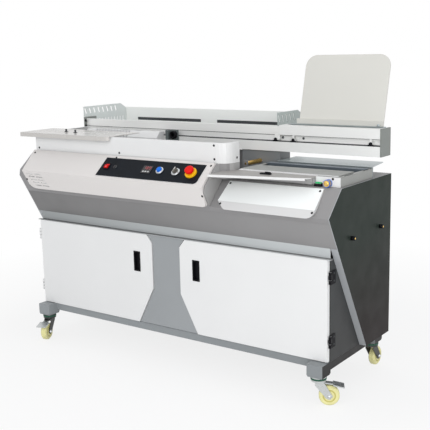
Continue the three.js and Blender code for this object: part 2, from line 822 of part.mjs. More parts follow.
function makeDoor(name, handleName, side) {
  const pan = prism('y', doorOutline(side, 0), doorFaceY, doorBackY)
    .subtract(prism('y', doorOutline(side, sheet), doorFaceY + sheet, doorBackY + overrun));
  const hinges = hingeHeights.map((z) => hingeOnDoor(side, z));
  const hole = handleBox(side, fitGap - handleLip, [doorFaceY - overrun, doorFaceY + overrun]);
  let door = pan.subtract(hole);
  hinges.forEach((hinge) => {
    door = door.add(hinge.add).subtract(hinge.cut);
  });
  place(name, door, coverWhite);
  const cup = handleBox(side, -handleLip, [doorFaceY - fitGap, doorBackY - sheet]);
  const lip = handleBox(side, 0, [doorFaceY - fitGap - handleLipThickness, doorFaceY - fitGap]);
  const recess = handleBox(side, -handleLip - handleWall,
    [doorFaceY - overrun, doorBackY - sheet - handleWall]);
  place(handleName, cup.add(lip).subtract(recess), plasticBlack);
}

// Front covers: shallow pans over a hood's nose, with a fold above the nose and a lip down to the foot
function hoodCover(profile, line, outline, inner, from, to) {
  const between = (depth, gap) =>
    prism('x', [...offsetLine(profile, gap), ...offsetLine(line, -depth).reverse()], from, to);
  const outer = between(0, fitGap).intersect(prism('y', outline, leftNoseY - overrun * 3, rearY));
  const hollow = between(sheet, fitGap - overrun)
    .intersect(prism('y', inner, leftNoseY - overrun * 3, rearY));
  return outer.subtract(hollow);
}

const controlCoverLeft = -halfLength + controlCoverLeftInset;
const controlCoverRight = stepX - controlCoverRightInset;
const controlFaceLine = offsetLine([leftNose, leftShoulder], coverLift);
const controlFold = towards(...controlFaceLine, controlFoldRun);
const controlFoldZ = controlFold[1];
const coverFoot = [coverFootY, coverBottomZ - fitGap];
const controlLine = [coverFoot, controlFold, controlFaceLine[1]];

function controlCoverOutline(inset) {
  const left = controlCoverLeft + inset;
  const right = controlCoverRight - inset;
  const top = leftDeckZ + coverLift - controlCoverTopInset - inset;
  const foot = coverBottomZ + inset;
  const shape = new THREE.Shape();
  shape.moveTo(left, top);
  shape.lineTo(left + controlLeftFoldInset, controlFoldZ);
  shape.lineTo(left + controlLeftLipInset, foot + controlLeftLipRise);
  shape.quadraticCurveTo(left + controlLeftFootInset, foot, left + controlLeftFootRun, foot);
  shape.lineTo(right + controlFoldShift - controlRightCorner, foot);
  shape.quadraticCurveTo(right + controlFoldShift, foot,
    right + controlFoldShift, foot + controlRightCorner);
  shape.lineTo(right + controlFoldShift, controlFoldZ);
  shape.lineTo(right, top);
  return shape;
}

function makeControlCover() {
  const cover = hoodCover(leftProfile.slice(0, 4), controlLine, controlCoverOutline(0),
    controlCoverOutline(sheet), -halfLength, stepX);
  const vents = [];
  for (let row = 0; row < ventRows; row += 1) {
    for (let column = 0; column < ventColumns; column += 1) {
      const x = -halfLength + ventLeftInset + column * ventPitchX + row * ventStagger;
      const z = leftNoseZ - ventTopDrop - row * ventPitchZ;
      vents.push(box([x, x + ventLength], [leftNoseY - coverLift * 3, leftFrontY], [z - ventHeight, z]));
    }
  }
  const slots = joined(vents).intersect(prism('x',
    band(controlLine.slice(0, 2), -sheet - fitGap, overrun), -halfLength, stepX));
  place('control_cover', cover.subtract(slots), coverWhite);
}

const rightFoldZ = rightNoseZ + rightFoldRise;
const rightLine = [coverFoot, [rightFoldY, rightFoldZ], [rightCoverTopY, rightDeckZ]];

function rightCoverOutline(inset) {
  const left = stepX + rightCoverLeftInset + inset;
  const right = halfLength - rightCoverRightInset - inset;
  const top = rightDeckZ + coverLift - rightCoverTopDrop - inset;
  const foot = coverBottomZ + inset;
  const shape = new THREE.Shape();
  shape.moveTo(left, top);
  shape.lineTo(left - rightCoverFlare, rightFoldZ);
  shape.lineTo(left + rightCoverLipRun, foot + rightCoverLipRise);
  shape.quadraticCurveTo(left + (rightCoverLipRun + rightCoverFootRun) / 2, foot,
    left + rightCoverFootRun, foot);
  shape.lineTo(right - rightCoverLipRun, foot);
  shape.quadraticCurveTo(right + rightCoverFlare, foot, right + rightCoverFlare, rightFoldZ);
  shape.lineTo(right, top);
  return shape;
}

function makeRightFrontCover() {
  place('right_front_cover', hoodCover(rightProfile.slice(0, 3), rightLine, rightCoverOutline(0),
    rightCoverOutline(sheet), stepX, halfLength), coverWhite);
}

// Control panel, drawn flat in a group that lies on the left hood's upper slope
const slopeRun = leftFrontY - leftNoseY;
const slopeRise = leftDeckZ - leftNoseZ;
const slopeLength = Math.hypot(slopeRun, slopeRise);
const slopeAngle = Math.atan2(slopeRise, slopeRun);
const controlFace = new THREE.Group();
controlFace.rotation.x = slopeAngle;
controlFace.position.set(0, leftNoseY - (coverLift + fitGap) * slopeRise / slopeLength,
  leftNoseZ + (coverLift + fitGap) * slopeRun / slopeLength);

const panelRightX = stepX - panelRightInset;
const panelLeftX = panelRightX - panelLength;
const disc = (x, radius, from, to, sides = roundSides, topRadius = radius) =>
  cylinder('z', [x, controlRise, (from + to) / 2], radius, to - from, sides, topRadius);
const onPanel = (name, solid, material) => controlFace.add(meshOf(name, solid, material));

function makeControlPlate() {
  const outline = roundedRectangle([panelLeftX, panelRightX], [panelFootRise, panelFootRise + panelHeight],
    [0, panelCorner, 0, 0]);
  const plate = prism('z', outline, 0, panelThickness);
  const lamp = disc(panelLeftX + lampInset, lampRadius, 0, panelThickness + lampHeight, smallSides);
  const displayX = panelLeftX + displayInset;
  const display = box([displayX - displayWidth / 2, displayX + displayWidth / 2],
    [controlRise - displayHeight / 2, controlRise + displayHeight / 2],
    [0, panelThickness + displayRise]);
  const bezelSizes = [
    [startInset, startBezelRadius, startRadius], [selectorInset, selectorBezelRadius, selectorRadius]];
  const bezels = bezelSizes.map(([inset, outer, inner]) => [
    disc(panelLeftX + inset, outer, 0, panelThickness + bezelHeight),
    disc(panelLeftX + inset, inner + fitGap, -overrun, panelThickness + bezelHeight + overrun)]);
  const frameX = panelLeftX + switchLeftInset;
  const outerFrame = box([frameX - switchWidth / 2 - switchFrame, frameX + switchWidth / 2 + switchFrame],
    [controlRise - switchHeight / 2 - switchFrame, controlRise + switchHeight / 2 + switchFrame],
    [0, panelThickness + switchFrame]);
  const frameHole = box([frameX - switchWidth / 2, frameX + switchWidth / 2],
    [controlRise - switchHeight / 2, controlRise + switchHeight / 2], [-overrun, overrun * 2]);
  const plateWithParts = joined([plate, lamp, display, outerFrame, ...bezels.map((pair) => pair[0])]);
  onPanel('control_plate', plateWithParts.subtract(joined([frameHole, ...bezels.map((pair) => pair[1])])),
    plasticBlack);
}

function makeControls() {
  const switchX = panelLeftX + switchLeftInset;
  const half = switchHeight / 2 - fitGap * 3;
  const rockerTop = panelThickness + switchFrame + switchRise;
  const rocker = prism('x', [
    [controlRise - half, fitGap], [controlRise + half, fitGap],
    [controlRise + half, panelThickness + switchFrame],
    [controlRise, rockerTop - switchRise / 2], [controlRise - half, rockerTop]],
  switchX - switchWidth / 2 + fitGap, switchX + switchWidth / 2 - fitGap);
  const rockerPivot = cylinder('x', [switchX, controlRise, fitGap + half / 2], half / 2,
    switchWidth - fitGap * 2, smallSides);
  const roomSides = [
    [controlRise - half - overrun, controlRise - half / 2],
    [controlRise + half / 2, controlRise + half + overrun]];
  const rockerRoom = roomSides.map((side) =>
    box([switchX - switchWidth, switchX + switchWidth], side, [-overrun, panelThickness / 2]));
  onPanel('power_switch', rocker.subtract(joined(rockerRoom)).add(rockerPivot), plasticRed);

  const startTop = panelThickness + bezelHeight + startRise;
  onPanel('start_button', disc(panelLeftX + startInset, startRadius, startTravel + fitGap, startTop),
    plasticBlue);

  const selectorX = panelLeftX + selectorInset;
  const gripTop = panelThickness + bezelHeight + selectorRise;
  const grip = box([selectorX - selectorGripWidth / 2, selectorX + selectorGripWidth / 2],
    [controlRise - selectorRadius + fitGap, controlRise + selectorRadius - fitGap], [fitGap, gripTop]);
  const selectorBody = disc(selectorX, selectorRadius, fitGap, panelThickness + bezelHeight + fitGap);
  onPanel('selector_switch', selectorBody.add(grip), zinc);

  const stopX = panelLeftX + stopInset;
  const baseTop = panelThickness + fitGap + stopBaseHeight;
  const base = disc(stopX, stopBaseRadius, panelThickness + fitGap, baseTop);
  const stemHole = disc(stopX, stopStemRadius + fitGap, panelThickness - overrun, baseTop + overrun);
  onPanel('emergency_stop_base', base.subtract(stemHole), plasticYellow);
  const headFrom = baseTop + stopLift;
  const head = disc(stopX, stopHeadRadius, headFrom, headFrom + stopHeadHeight / 2)
    .add(disc(stopX, stopHeadRadius, headFrom + stopHeadHeight / 2, headFrom + stopHeadHeight, roundSides,
      stopHeadRadius * stopHeadTopShare));
  const stem = disc(stopX, stopStemRadius, panelThickness + fitGap + stopTravel, headFrom + fitGap);
  onPanel('emergency_stop_button', head.add(stem), plasticRed);
}

// Splash cover: an upright wall round the front of the well, with a flange turned in at the top
function splashLine(inset) {
  const left = -halfLength + splashLeftInset + inset;
  const front = leftFrontY + splashInset + inset;
  const right = bulgeX - inset;
  const radius = bulgeRadius - inset;
  return [
    [left, splashReturnY], [left, front],
    ...arcPoints(right - radius, front + radius, radius, -Math.PI / 2, 0), [right, bulgeBackY]];
}

function makeSplashCover() {
  const bottom = leftDeckZ + fitGap;
  const wall = prism('z', band(splashLine(0), 0, thinSheet), bottom, splashTopZ);
  const flange = prism('z', band(splashLine(0), 0, splashFlange), splashTopZ - thinSheet, splashTopZ);
  place('splash_cover', wall.add(flange), coverWhite);
}

// Left tray: a plate with a turned-down rim, resting on the splash cover
function makeLeftTray() {
  const left = -halfLength - trayOverhang;
  const right = left + trayLength;
  const bottom = splashTopZ + fitGap;
  const top = bottom + sheet;
  const corners = [0, trayCorner, 0, 0];
  const outline = (inset) => roundedRectangle([left + inset, right - inset],
    [trayFrontY + inset, trayRearY - inset], corners.map((radius) => Math.max(radius - inset, 0)));
  const rimRoom = box([left + sheet, right + overrun], [trayFrontY + trayRim, trayRearY + overrun],
    [top - trayRim - overrun, bottom]);
  const shell = prism('z', outline(0), top - trayRim, top)
    .subtract(prism('z', outline(sheet), top - trayRim - overrun, bottom)).subtract(rimRoom);
  place('left_tray', shell, coverWhite);
}

// Dust hood of the milling station, with suction slots, two ports and its gussets
const dustLeftX = -halfLength + dustHoodLeftInset;
const dustRightX = dustLeftX + dustHoodLength;

function makeDustHood() {
  const bottom = leftDeckZ + fitGap;
  const top = leftDeckZ + dustHoodHeight;
  const outline = (inset, footZ) => [
    [dustHoodFrontY + inset, footZ], [dustRearY - inset, footZ],
    [dustRearY - inset, top - inset], [dustHoodFrontY + dustHoodSlope + inset / 2, top - inset],
    [dustHoodFrontY + inset, top - dustHoodSlope - inset / 2]];
  const room = prism('x', outline(thinSheet, bottom - overrun), dustLeftX + thinSheet,
    dustRightX - thinSheet);
  const shell = prism('x', outline(0, bottom), dustLeftX, dustRightX).subtract(room);
  const cuts = Array.from({ length: dustSlotCount }, (_, i) => {
    const x = dustLeftX + dustSlotInset + i * dustSlotPitch;
    return box([x, x + dustSlotWidth], [dustHoodFrontY - overrun, dustHoodFrontY + dustSlotLength],
      [top - dustSlotDrop, top + overrun]);
  });
  const portY = (dustHoodFrontY + dustHoodSlope + dustRearY) / 2;
  const ports = dustPortInsets.map((inset) => prism('z', Array.from({ length: pinSides }, (_, i) => {
    const angle = 2 * Math.PI * i / pinSides;
    return [dustLeftX + inset + Math.cos(angle) * dustPortLength / 2,
      portY + Math.sin(angle) * dustPortWidth / 2];
  }), top - overrun, top + overrun));
  const gussets = gussetInsets.map((inset) => prism('x', [
    [dustHoodFrontY + fitGap, bottom], [dustHoodFrontY + fitGap, bottom + gussetHeight],
    [dustHoodFrontY - dustHoodSlope, bottom]], dustLeftX + inset, dustLeftX + inset + gussetThickness));
  place('dust_hood', joined([shell, ...gussets]).subtract(joined([...cuts, ...ports])), coverWhite);
}

// Beam: grooved front rail, rear rail and the end plates that join them
const railRearY = beamFrontY + railDepth;
const upperRailY = beamFrontY + railUpperInset;
const grooveBottomZ = beamBottomZ + railLowerHeight;
const grooveTopZ = grooveBottomZ + railGrooveHeight;
const rearRailBottomZ = beamBottomZ + rearRailRise;
const rearRailTopZ = rearRailBottomZ + rearRailHeight;

function makeBeam() {
  const outline = [
    [beamFrontY, beamBottomZ], [railRearY, beamBottomZ], [railRearY, beamTopZ], [upperRailY, beamTopZ],
    [upperRailY, grooveTopZ], [beamFrontY + railGrooveInset, grooveTopZ],
    [beamFrontY + railGrooveInset, grooveBottomZ], [beamFrontY, grooveBottomZ]];
  const from = endPlateLeftX + fitGap;
  const to = endPlateRightX - fitGap;
  place('beam_front_rail', prism('x', outline, from, to), railWhite);
  place('beam_rear_rail', box([from, to], [beamRearY - rearRailDepth, beamRearY],
    [rearRailBottomZ, rearRailTopZ]), steel);
  const topZ = beamBottomZ + endPlateHeight;
  place('beam_left_end_plate', box([beamLeftX, endPlateLeftX], [beamFrontY, beamRearY],
    [beamBottomZ, topZ]).add(makeBeamFoot()), frameGrey);
  place('beam_right_end_plate', box([endPlateRightX, halfLength], [beamFrontY, beamRearY],
    [beamBottomZ, topZ]), frameGrey);
}

// The left end stands on the hood through a bent foot
function makeBeamFoot() {
  const footTop = leftDeckZ + fitGap + sheet;
  const riser = box([beamLeftX, endPlateLeftX], [beamFrontY, beamRearY], [leftDeckZ + fitGap, beamBottomZ]);
  const sole = box([beamLeftX, -halfLength + wellSideStrip], [beamFrontY, beamRearY],
    [leftDeckZ + fitGap, footTop]);
  return riser.add(sole);
}

// Clamp carriage: hooks over the front rail and rides the rear rail with two bearing blocks
const carriageRightX = endPlateRightX - fitGap;
const carriageLeftX = carriageRightX - carriageLength;
const carriageBottomZ = beamTopZ + fitGap * 3;
const carriageTopZ = carriageBottomZ + carriageTopThickness;
const jawSlotX = [carriageLeftX + carriageEnd, carriageRightX - carriageEnd];
const fixedJawY = railRearY + fitGap;
const jawSlotRearY = beamRearY - rearRailDepth - fitGap - blockLegThickness - fitGap;

function makeCarriage() {
  const barFrontY = beamFrontY - carriageBarProud;
  const bar = box([carriageLeftX, carriageRightX], [barFrontY, barFrontY + carriageBarDepth],
    [carriageTopZ - carriageBarHeight, carriageTopZ]);
  const top = box([carriageLeftX, carriageRightX], [barFrontY, beamRearY + fitGap + blockLegThickness],
    [carriageBottomZ, carriageTopZ]);
  const slot = box(jawSlotX, [fixedJawY + jawThickness, jawSlotRearY],
    [carriageBottomZ - overrun, carriageTopZ + overrun]);
  const fixedJaw = box(jawSlotX, [fixedJawY, fixedJawY + jawThickness],
    [beamBottomZ + jawBottomRise, carriageTopZ]);
  const blocks = [carriageLeftX + blockInset, carriageRightX - blockInset - blockLength].map((x) => {
    const outer = box([x, x + blockLength],
      [beamRearY - rearRailDepth - fitGap - blockLegThickness, beamRearY + fitGap + blockLegThickness],
      [rearRailBottomZ, carriageTopZ]);
    const rail = box([x - overrun, x + blockLength + overrun],
      [beamRearY - rearRailDepth - fitGap, beamRearY + fitGap],
      [rearRailBottomZ - overrun, rearRailTopZ + fitGap]);
    const guardRoom = box([x - overrun, x + blockLength + overrun], [beamRearY, beamRearY + overrun],
      [rearRailBottomZ - overrun, rearRailTopZ - blockOuterLegDrop]);
    return outer.subtract(rail).subtract(guardRoom);
  });
  const glides = glideOffsets.map((offset) => makeGlide(carriageLeftX + offset, barFrontY));
  place('clamp_carriage', joined([bar, top.subtract(slot), fixedJaw, ...blocks, ...glides]), coverWhite);
}

// A nylon glide under the carriage bar, running on the lower lip of the front rail
function makeGlide(x, barFrontY) {
  const z = grooveBottomZ + fitGap + glideRadius;
  const y = barFrontY + carriageBarDepth / 2;
  const roll = cylinder('y', [x, y, z], glideRadius, glideWidth, smallSides);
  const strapTop = carriageTopZ - carriageBarHeight + overrun;
  const strap = box([x - glideRadius / 2, Math.max(x, carriageLeftX) + glideRadius / 2],
    [y - glideWidth / 2, y], [z, strapTop]);
  const riser = box([x - glideRadius / 2, x + glideRadius / 2], [y - glideWidth / 2, y],
    [z, Math.min(z + glideLugHeight, strapTop)]);
  return joined([roll, strap, riser]);
}

// The moving jaw hangs in the carriage by the wings of its hanger
function makeClampJaw() {
  const rear = jawSlotRearY - fitGap;
  const top = carriageTopZ + fitGap + jawHangerHeight;
  const blade = box([jawSlotX[0] + jawPlay, jawSlotX[1] - jawPlay], [rear - jawThickness, rear],
    [beamBottomZ + jawBottomRise, top]);
  const hanger = box([jawSlotX[0] - jawHangerReach, jawSlotX[1] + jawHangerReach],
    [rear - jawHangerDepth, rear], [top - jawHangerHeight, top]);
  place('clamp_jaw', blade.add(hanger), steel);
}

// Book rest: a leaning plate on a foot bar
function makeRestPlate() {
  const right = carriageRightX - restInsetRight;
  const left = right - restWidth;
  const lean = THREE.MathUtils.degToRad(restLeanDegrees);
  const footY = jawSlotRearY + fitGap * 2;
  const bottomZ = carriageTopZ + fitGap;
  const bar = box([left - restBarOverhang, right], [footY, footY + restThickness * 2],
    [bottomZ, bottomZ + restBarHeight]);
  const outline = roundedRectangle([left, right], [0, restHeight], [0, 0, restCorner, restCorner]);
  const geometry = new THREE.ExtrudeGeometry(outline,
    { depth: restThickness, bevelEnabled: false, curveSegments: cornerSteps * 2 });
  geometry.rotateX(Math.PI / 2 - lean);
  geometry.translate(0, footY + restPlateInset, bottomZ + restThickness);
  place('book_rest', bar.add(solidOf(geometry)), restGrey);
}

// Rear guard: louvred side plates and a slotted back, behind the beam
function louvres(x, [fromY, toY], centreZ, { pitch, width, height, leanDegrees }) {
  const cuts = [];
  for (let y = fromY + guardLouvreMargin; y < toY - guardLouvreMargin; y += pitch) {
    const geometry = new THREE.BoxGeometry(overrun * 2, width, height);
    geometry.rotateX(THREE.MathUtils.degToRad(leanDegrees));
    geometry.translate(x, y, centreZ);
    cuts.push(solidOf(geometry));
  }
  return joined(cuts);
}

function guardSide(x, frontY, topZ) {
  const outline = [
    [frontY, guardSkirtZ], [guardBackY, guardSkirtZ], [guardBackY, topZ - guardChamferDrop],
    [guardBackY - guardChamfer, topZ], [frontY, topZ]];
  return prism('x', outline, x, x + guardSheet);
}

function makeGuard() {
  const leftX = beamLeftX;
  const leftTopZ = beamTopZ + guardLeftHeight;
  const frontY = beamRearY + guardFrontClear;
  const endTopZ = beamBottomZ + endPlateHeight + fitGap;
  const wing = box([leftX, leftX + guardSheet], [beamFrontY, frontY + overrun], [endTopZ, leftTopZ]);
  const tab = box([leftX, leftX + guardSheet], [beamRearY + fitGap, frontY + overrun],
    [guardSkirtZ, leftTopZ]);
  const left = joined([guardSide(leftX, frontY, leftTopZ), wing, tab]);
  const slanted = { pitch: guardLouvrePitch, width: guardLouvreWidth, height: guardLouvreHeight,
    leanDegrees: guardLouvreLeanDegrees };
  const upright = { ...slanted, pitch: guardLowLouvrePitch, width: guardLowLouvreWidth, leanDegrees: 0 };
  const upperRow = louvres(leftX, [beamFrontY, guardBackY - guardChamfer],
    leftTopZ - guardTopLouvreDrop, slanted);
  const lowerRow = louvres(leftX, [frontY, guardBackY], guardSkirtZ + guardLowLouvreRise, upright);
  place('guard_left', left.subtract(upperRow).subtract(lowerRow), guardGrey);

  const rightTopZ = guardBackTopZ + guardChamferDrop / 2;
  const footTopZ = rearRailTopZ - blockOuterLegDrop - sheet;
  const foot = box([guardRightX - blockLength / 2, guardRightX + guardSheet],
    [beamRearY + fitGap, beamRearY + fitGap + guardSheet], [rearRailBottomZ, footTopZ]);
  const bridge = box([guardRightX, guardRightX + guardSheet], [beamRearY + fitGap, frontY + overrun],
    [guardSkirtZ, footTopZ]);
  const right = joined([guardSide(guardRightX, frontY, rightTopZ), foot, bridge]);
  const rightRow = louvres(guardRightX, [frontY, guardBackY - guardChamfer],
    rightTopZ - guardLouvreHeight, { ...slanted, height: guardTallLouvreHeight });
  place('guard_right', right.subtract(rightRow), guardGrey);

  const back = box([leftX, guardRightX + guardSheet], [guardBackY + fitGap, guardBackY + fitGap + guardSheet],
    [guardSkirtZ, guardBackTopZ]);
  const slotY = [guardBackY - overrun, guardBackY + overrun];
  const slotZ = [guardSlotZ - guardSlotHeight / 2, guardSlotZ + guardSlotHeight / 2];
  const slots = [
    box([leftX + guardSlotInset, leftX + guardSlotBreakStart], slotY, slotZ),
    box([leftX + guardSlotBreakStart + guardSlotBreak, guardRightX - guardSlotInset], slotY, slotZ)];
  place('guard_back', back.subtract(joined(slots)), guardGrey);
}

// Milling station: a motor on the machine deck and a toothed cutter under the clamp
const cutterTopZ = beamBottomZ - cutterTopDrop;
const cutterBottomZ = cutterTopZ - cutterThickness;
const motorTopZ = cutterBottomZ - cutterShaftLength;

function makeMilling() {
  const bodyTop = motorTopZ - motorCapHeight;
  const bottom = machineDeckTopZ + fitGap;
  const motorBody = cylinder('z', [cutterX, cutterY, (bottom + bodyTop) / 2], motorRadius, bodyTop - bottom);
  const cap = cylinder('z', [cutterX, cutterY, bodyTop + motorCapHeight / 2], motorRadius, motorCapHeight,
    roundSides, motorCapRadius);
  place('milling_motor', motorBody.add(cap), darkSteel);

  const wheel = cylinder('z', [cutterX, cutterY, (cutterTopZ + cutterBottomZ) / 2], cutterRadius,
    cutterThickness, rollerSides);
  const shaft = cylinder('z', [cutterX, cutterY, motorTopZ + fitGap + cutterShaftLength / 2],
    cutterShaftRadius, cutterShaftLength, smallSides);
  const teeth = Array.from({ length: cutterTeeth }, (_, i) => {
    const geometry = new THREE.BoxGeometry(cutterToothReach * 2, cutterToothWidth, cutterThickness);
    geometry.translate(cutterRadius, 0, (cutterTopZ + cutterBottomZ) / 2 + cutterToothRise - fitGap * 2);
    geometry.rotateZ(2 * Math.PI * i / cutterTeeth);
    geometry.translate(cutterX, cutterY, 0);
    return solidOf(geometry);
  });
  place('milling_cutter', joined([wheel, shaft, ...teeth]), steel);
}

// Glue tank with two glue rollers running in its walls
const tankTopZ = beamBottomZ - tankTopDrop;
const tankRearY = insideRearY - tankRearGap;
const glueRollerZ = beamBottomZ - glueRollerTopDrop - glueRollerRadius;
const tankFloorZ = glueRollerZ - glueRollerRadius - tankWall;

function makeGlueUnit() {
  const outer = box([tankLeftX, tankLeftX + tankLength], [tankFrontY, tankRearY],
    [machineDeckTopZ + fitGap, tankTopZ]);
  const room = box([tankLeftX + tankWall, tankLeftX + tankLength - tankWall],
    [tankFrontY + tankWall, tankRearY - tankWall], [tankFloorZ, tankTopZ + overrun]);
  const middleY = (tankFrontY + tankRearY) / 2;
  const bores = glueRollerInsets.map((inset) => cylinder('y', [tankLeftX + inset, middleY, glueRollerZ],
    glueShaftRadius + fitGap, tankDepth * 2));
  place('glue_tank', outer.subtract(room).subtract(joined(bores)), darkSteel);
  glueRollerInsets.forEach((inset, i) => {
    const x = tankLeftX + inset;
    const width = tankRearY - tankFrontY - 2 * (tankWall + glueRollerSideGap);
    const drum = cylinder('y', [x, middleY, glueRollerZ], glueRollerRadius, width, rollerSides);
    const shaft = cylinder('y', [x, middleY, glueRollerZ], glueShaftRadius, tankRearY - tankFrontY);
    place(`glue_roller_${i + 1}`, drum.add(shaft), steel);
  });
}

// Rear housing that carries the beam, and the brass feed roller that runs into its wall
function makeHousing() {
  const housing = box([housingLeftX, housingRightX], [housingFrontY, insideRearY],
    [machineDeckTopZ + fitGap, beamBottomZ - fitGap]);
  const bore = cylinder('y', [feedRollerX, housingFrontY, feedRollerZ], feedShaftRadius + fitGap,
    feedBracketThickness * 2, smallSides);
  place('rear_housing', housing.subtract(bore), frameGrey);
  const drumFrom = feedRollerFrontY;
  const drumTo = housingFrontY - fitGap;
  const drum = cylinder('y', [feedRollerX, (drumFrom + drumTo) / 2, feedRollerZ], feedRollerRadius,
    drumTo - drumFrom);
  const shaftFrom = feedRollerFrontY - feedBracketThickness;
  const shaftTo = housingFrontY + feedBracketThickness - fitGap;
  const shaft = cylinder('y', [feedRollerX, (shaftFrom + shaftTo) / 2, feedRollerZ], feedShaftRadius,
    shaftTo - shaftFrom, smallSides);
  place('cover_feed_roller', drum.add(shaft), brass);
}

// Nipping station: frame with its front platen, moving jaw, rear platen and cover table
const nipBottomZ = rightDeckZ + fitGap;
const nipTopZ = rightDeckZ + nipHeight;
const nipBoxLeftX = nipRightX - nipBoxLength;

function makeNipFrame() {
  const outer = joined([
    box([nipLeftX, nipRightX], [nipFrontY, nipRearY], [nipBottomZ, nipTopZ]),
    box([nipBoxLeftX, nipRightX], [nipBoxFrontY, nipFrontY + overrun], [nipBottomZ, nipTopZ])]);
  const room = box([nipLeftX + sheet, nipRightX - sheet], [nipFrontY + sheet, nipRearY - sheet],
    [nipBottomZ - overrun, nipTopZ - sheet]);
  const boxRoom = box([nipBoxLeftX + sheet, nipRightX - sheet], [nipBoxFrontY + sheet, nipFrontY + overrun],
    [nipBottomZ - overrun, nipTopZ - sheet]);
  const opening = box([nipLeftX + nipFlange, nipRightX - nipFlange],
    [nipFrontY + nipFlange, nipRearY - nipFlange], [nipBottomZ - overrun, nipTopZ + overrun]);
  const depth = nipRearY - nipFrontY;
  const slotMiddleX = nipRightX - nipFlange / 2;
  const slots = [nipSlotFrontShares, nipSlotRearShares].map(([from, to]) =>
    box([slotMiddleX - nipSlotWidth / 2, slotMiddleX + nipSlotWidth / 2],
      [nipFrontY + from * depth, nipFrontY + to * depth],
      [nipTopZ - sheet - overrun / 2, nipTopZ + overrun]));
  const platen = box([nipLeftX + nipFlange / 2, nipRightX - platenRightInset], [nipFrontY, platenRearY],
    [nipTopZ - fitGap, nipTopZ + platenThickness]);
  const buttonBase = makeNipButtonBase();
  place('nip_frame', joined([outer.subtract(room).subtract(boxRoom).subtract(opening).subtract(joined(slots)),
    platen, buttonBase]), frameGrey);
}

// The push button's black box on the front of the frame
const nipButtonX = nipBoxLeftX + nipButtonInset + nipButtonBaseLength / 2;
const nipButtonY = nipBoxFrontY - nipButtonBaseDepth / 2;

function makeNipButtonBase() {
  const half = nipButtonBaseLength / 2;
  const base = box([nipButtonX - half, nipButtonX + half],
    [nipBoxFrontY - nipButtonBaseDepth, nipBoxFrontY + fitGap],
    [nipBottomZ, nipBottomZ + nipButtonBaseHeight]);
  const wellHalf = nipButtonSide / 2 + fitGap;
  const well = box([nipButtonX - half + sheet, nipButtonX + half - sheet],
    [nipButtonY - wellHalf, nipButtonY + wellHalf],
    [nipBottomZ + nipButtonBaseHeight - nipButtonTravel - sheet, nipBottomZ + nipButtonBaseHeight + overrun]);
  return base.subtract(well);
}

function makeNipButton() {
  const half = nipButtonBaseLength / 2 - sheet - fitGap;
  const top = nipBottomZ + nipButtonBaseHeight + nipButtonRise;
  place('nip_button', box([nipButtonX - half, nipButtonX + half],
    [nipButtonY - nipButtonSide / 2, nipButtonY + nipButtonSide / 2],
    [nipBottomZ + nipButtonBaseHeight - sheet + fitGap, top]), plasticGreen);
}

function makeNipJaw() {
  const inner = [nipLeftX + nipFlange + fitGap * 2, nipRightX - nipFlange - fitGap * 2];
  const top = nipTopZ + fitGap;
  const bar = box(inner, [nipJawFrontY, nipJawFrontY + nipJawDepth - nipFlange],
    [top - nipJawHeight, top + platenThickness]);
  const wings = box([nipLeftX + nipFlange / 2, nipRightX - nipFlange / 2],
    [nipJawFrontY, nipJawFrontY + nipJawDepth - nipFlange], [top, top + platenThickness]);
  place('nip_jaw', bar.add(wings), steel);
}

function makeRearPlaten() {
  const bottom = nipTopZ + fitGap + platenThickness + fitGap;
  const top = bottom + platenThickness;
  const left = nipLeftX + rearPlatenLeftInset;
  const plate = prism('z', [
    [left, rearPlatenFrontY - rearPlatenFoot / 2], [nipRightX, rearPlatenFrontY - rearPlatenFoot / 2],
    [nipRightX - rearPlatenTaper, rearY], [left, rearY]], bottom, top);
  const skirt = box([left, nipRightX], [rearPlatenFrontY, rearPlatenFrontY + platenThickness],
    [rightDeckZ + fitGap, top]);
  const rearSkirt = box([left, left + rearSkirtLength], [rearY - platenThickness, rearY],
    [rightDeckZ + fitGap, top]);
  place('rear_platen', joined([plate, skirt, rearSkirt]), steel);
}

// Cover table: a thin plate, deeper at the left, with a cut corner and a turned-down front lip
function makeCoverTable() {
  const left = stepX + coverTableLeftInset;
  const right = nipBoxLeftX - fitGap;
  const rear = nipFrontY - fitGap;
  const cornerX = right - coverTableCorner;
  const rightFront = nipFrontY - coverTableRightDepth;
  const edge = [[left, coverTableFrontY], [cornerX, rightFront]];
  const outline = [...edge, [right, rightFront + coverTableCorner], [right, rear], [left, rear]];
  const plate = prism('z', outline, coverTableZ, coverTableZ + sheet);
  const lip = prism('z', band(edge, 0, sheet), coverTableZ - coverTableLip, coverTableZ + sheet);
  const posts = [bulgeX + coverTablePostWidth, right - coverTablePostWidth * 2].map((x) =>
    box([x, x + coverTablePostWidth], [rear - sheet, rear], [nipBottomZ, coverTableZ + sheet]));
  const bulgeRoom = prism('z', [...offsetLine(bulgeLine(), -fitGap),
    [stepX - wellSideStrip, bulgeBackY], [stepX - wellSideStrip, leftFrontY + splashInset - fitGap]],
  rightDeckZ, leftDeckZ);
  place('cover_table', joined([plate, lip, ...posts]).subtract(bulgeRoom), steel);
}

// Side lay: the small black stop that slides along the cover table
function makeSideLay() {
  const x = stepX + coverTableLeftInset + layInset;
  const y = nipFrontY - layRearInset;
  const z = coverTableZ + sheet + fitGap;
  const base = box([x, x + layLength], [y, y + layDepth], [z, z + layHeight / 2]);
  const stop = box([x + layLength / 2, x + layLength], [y, y + layDepth / 2], [z, z + layHeight]);
  place('side_lay', base.add(stop), plasticBlack);
}

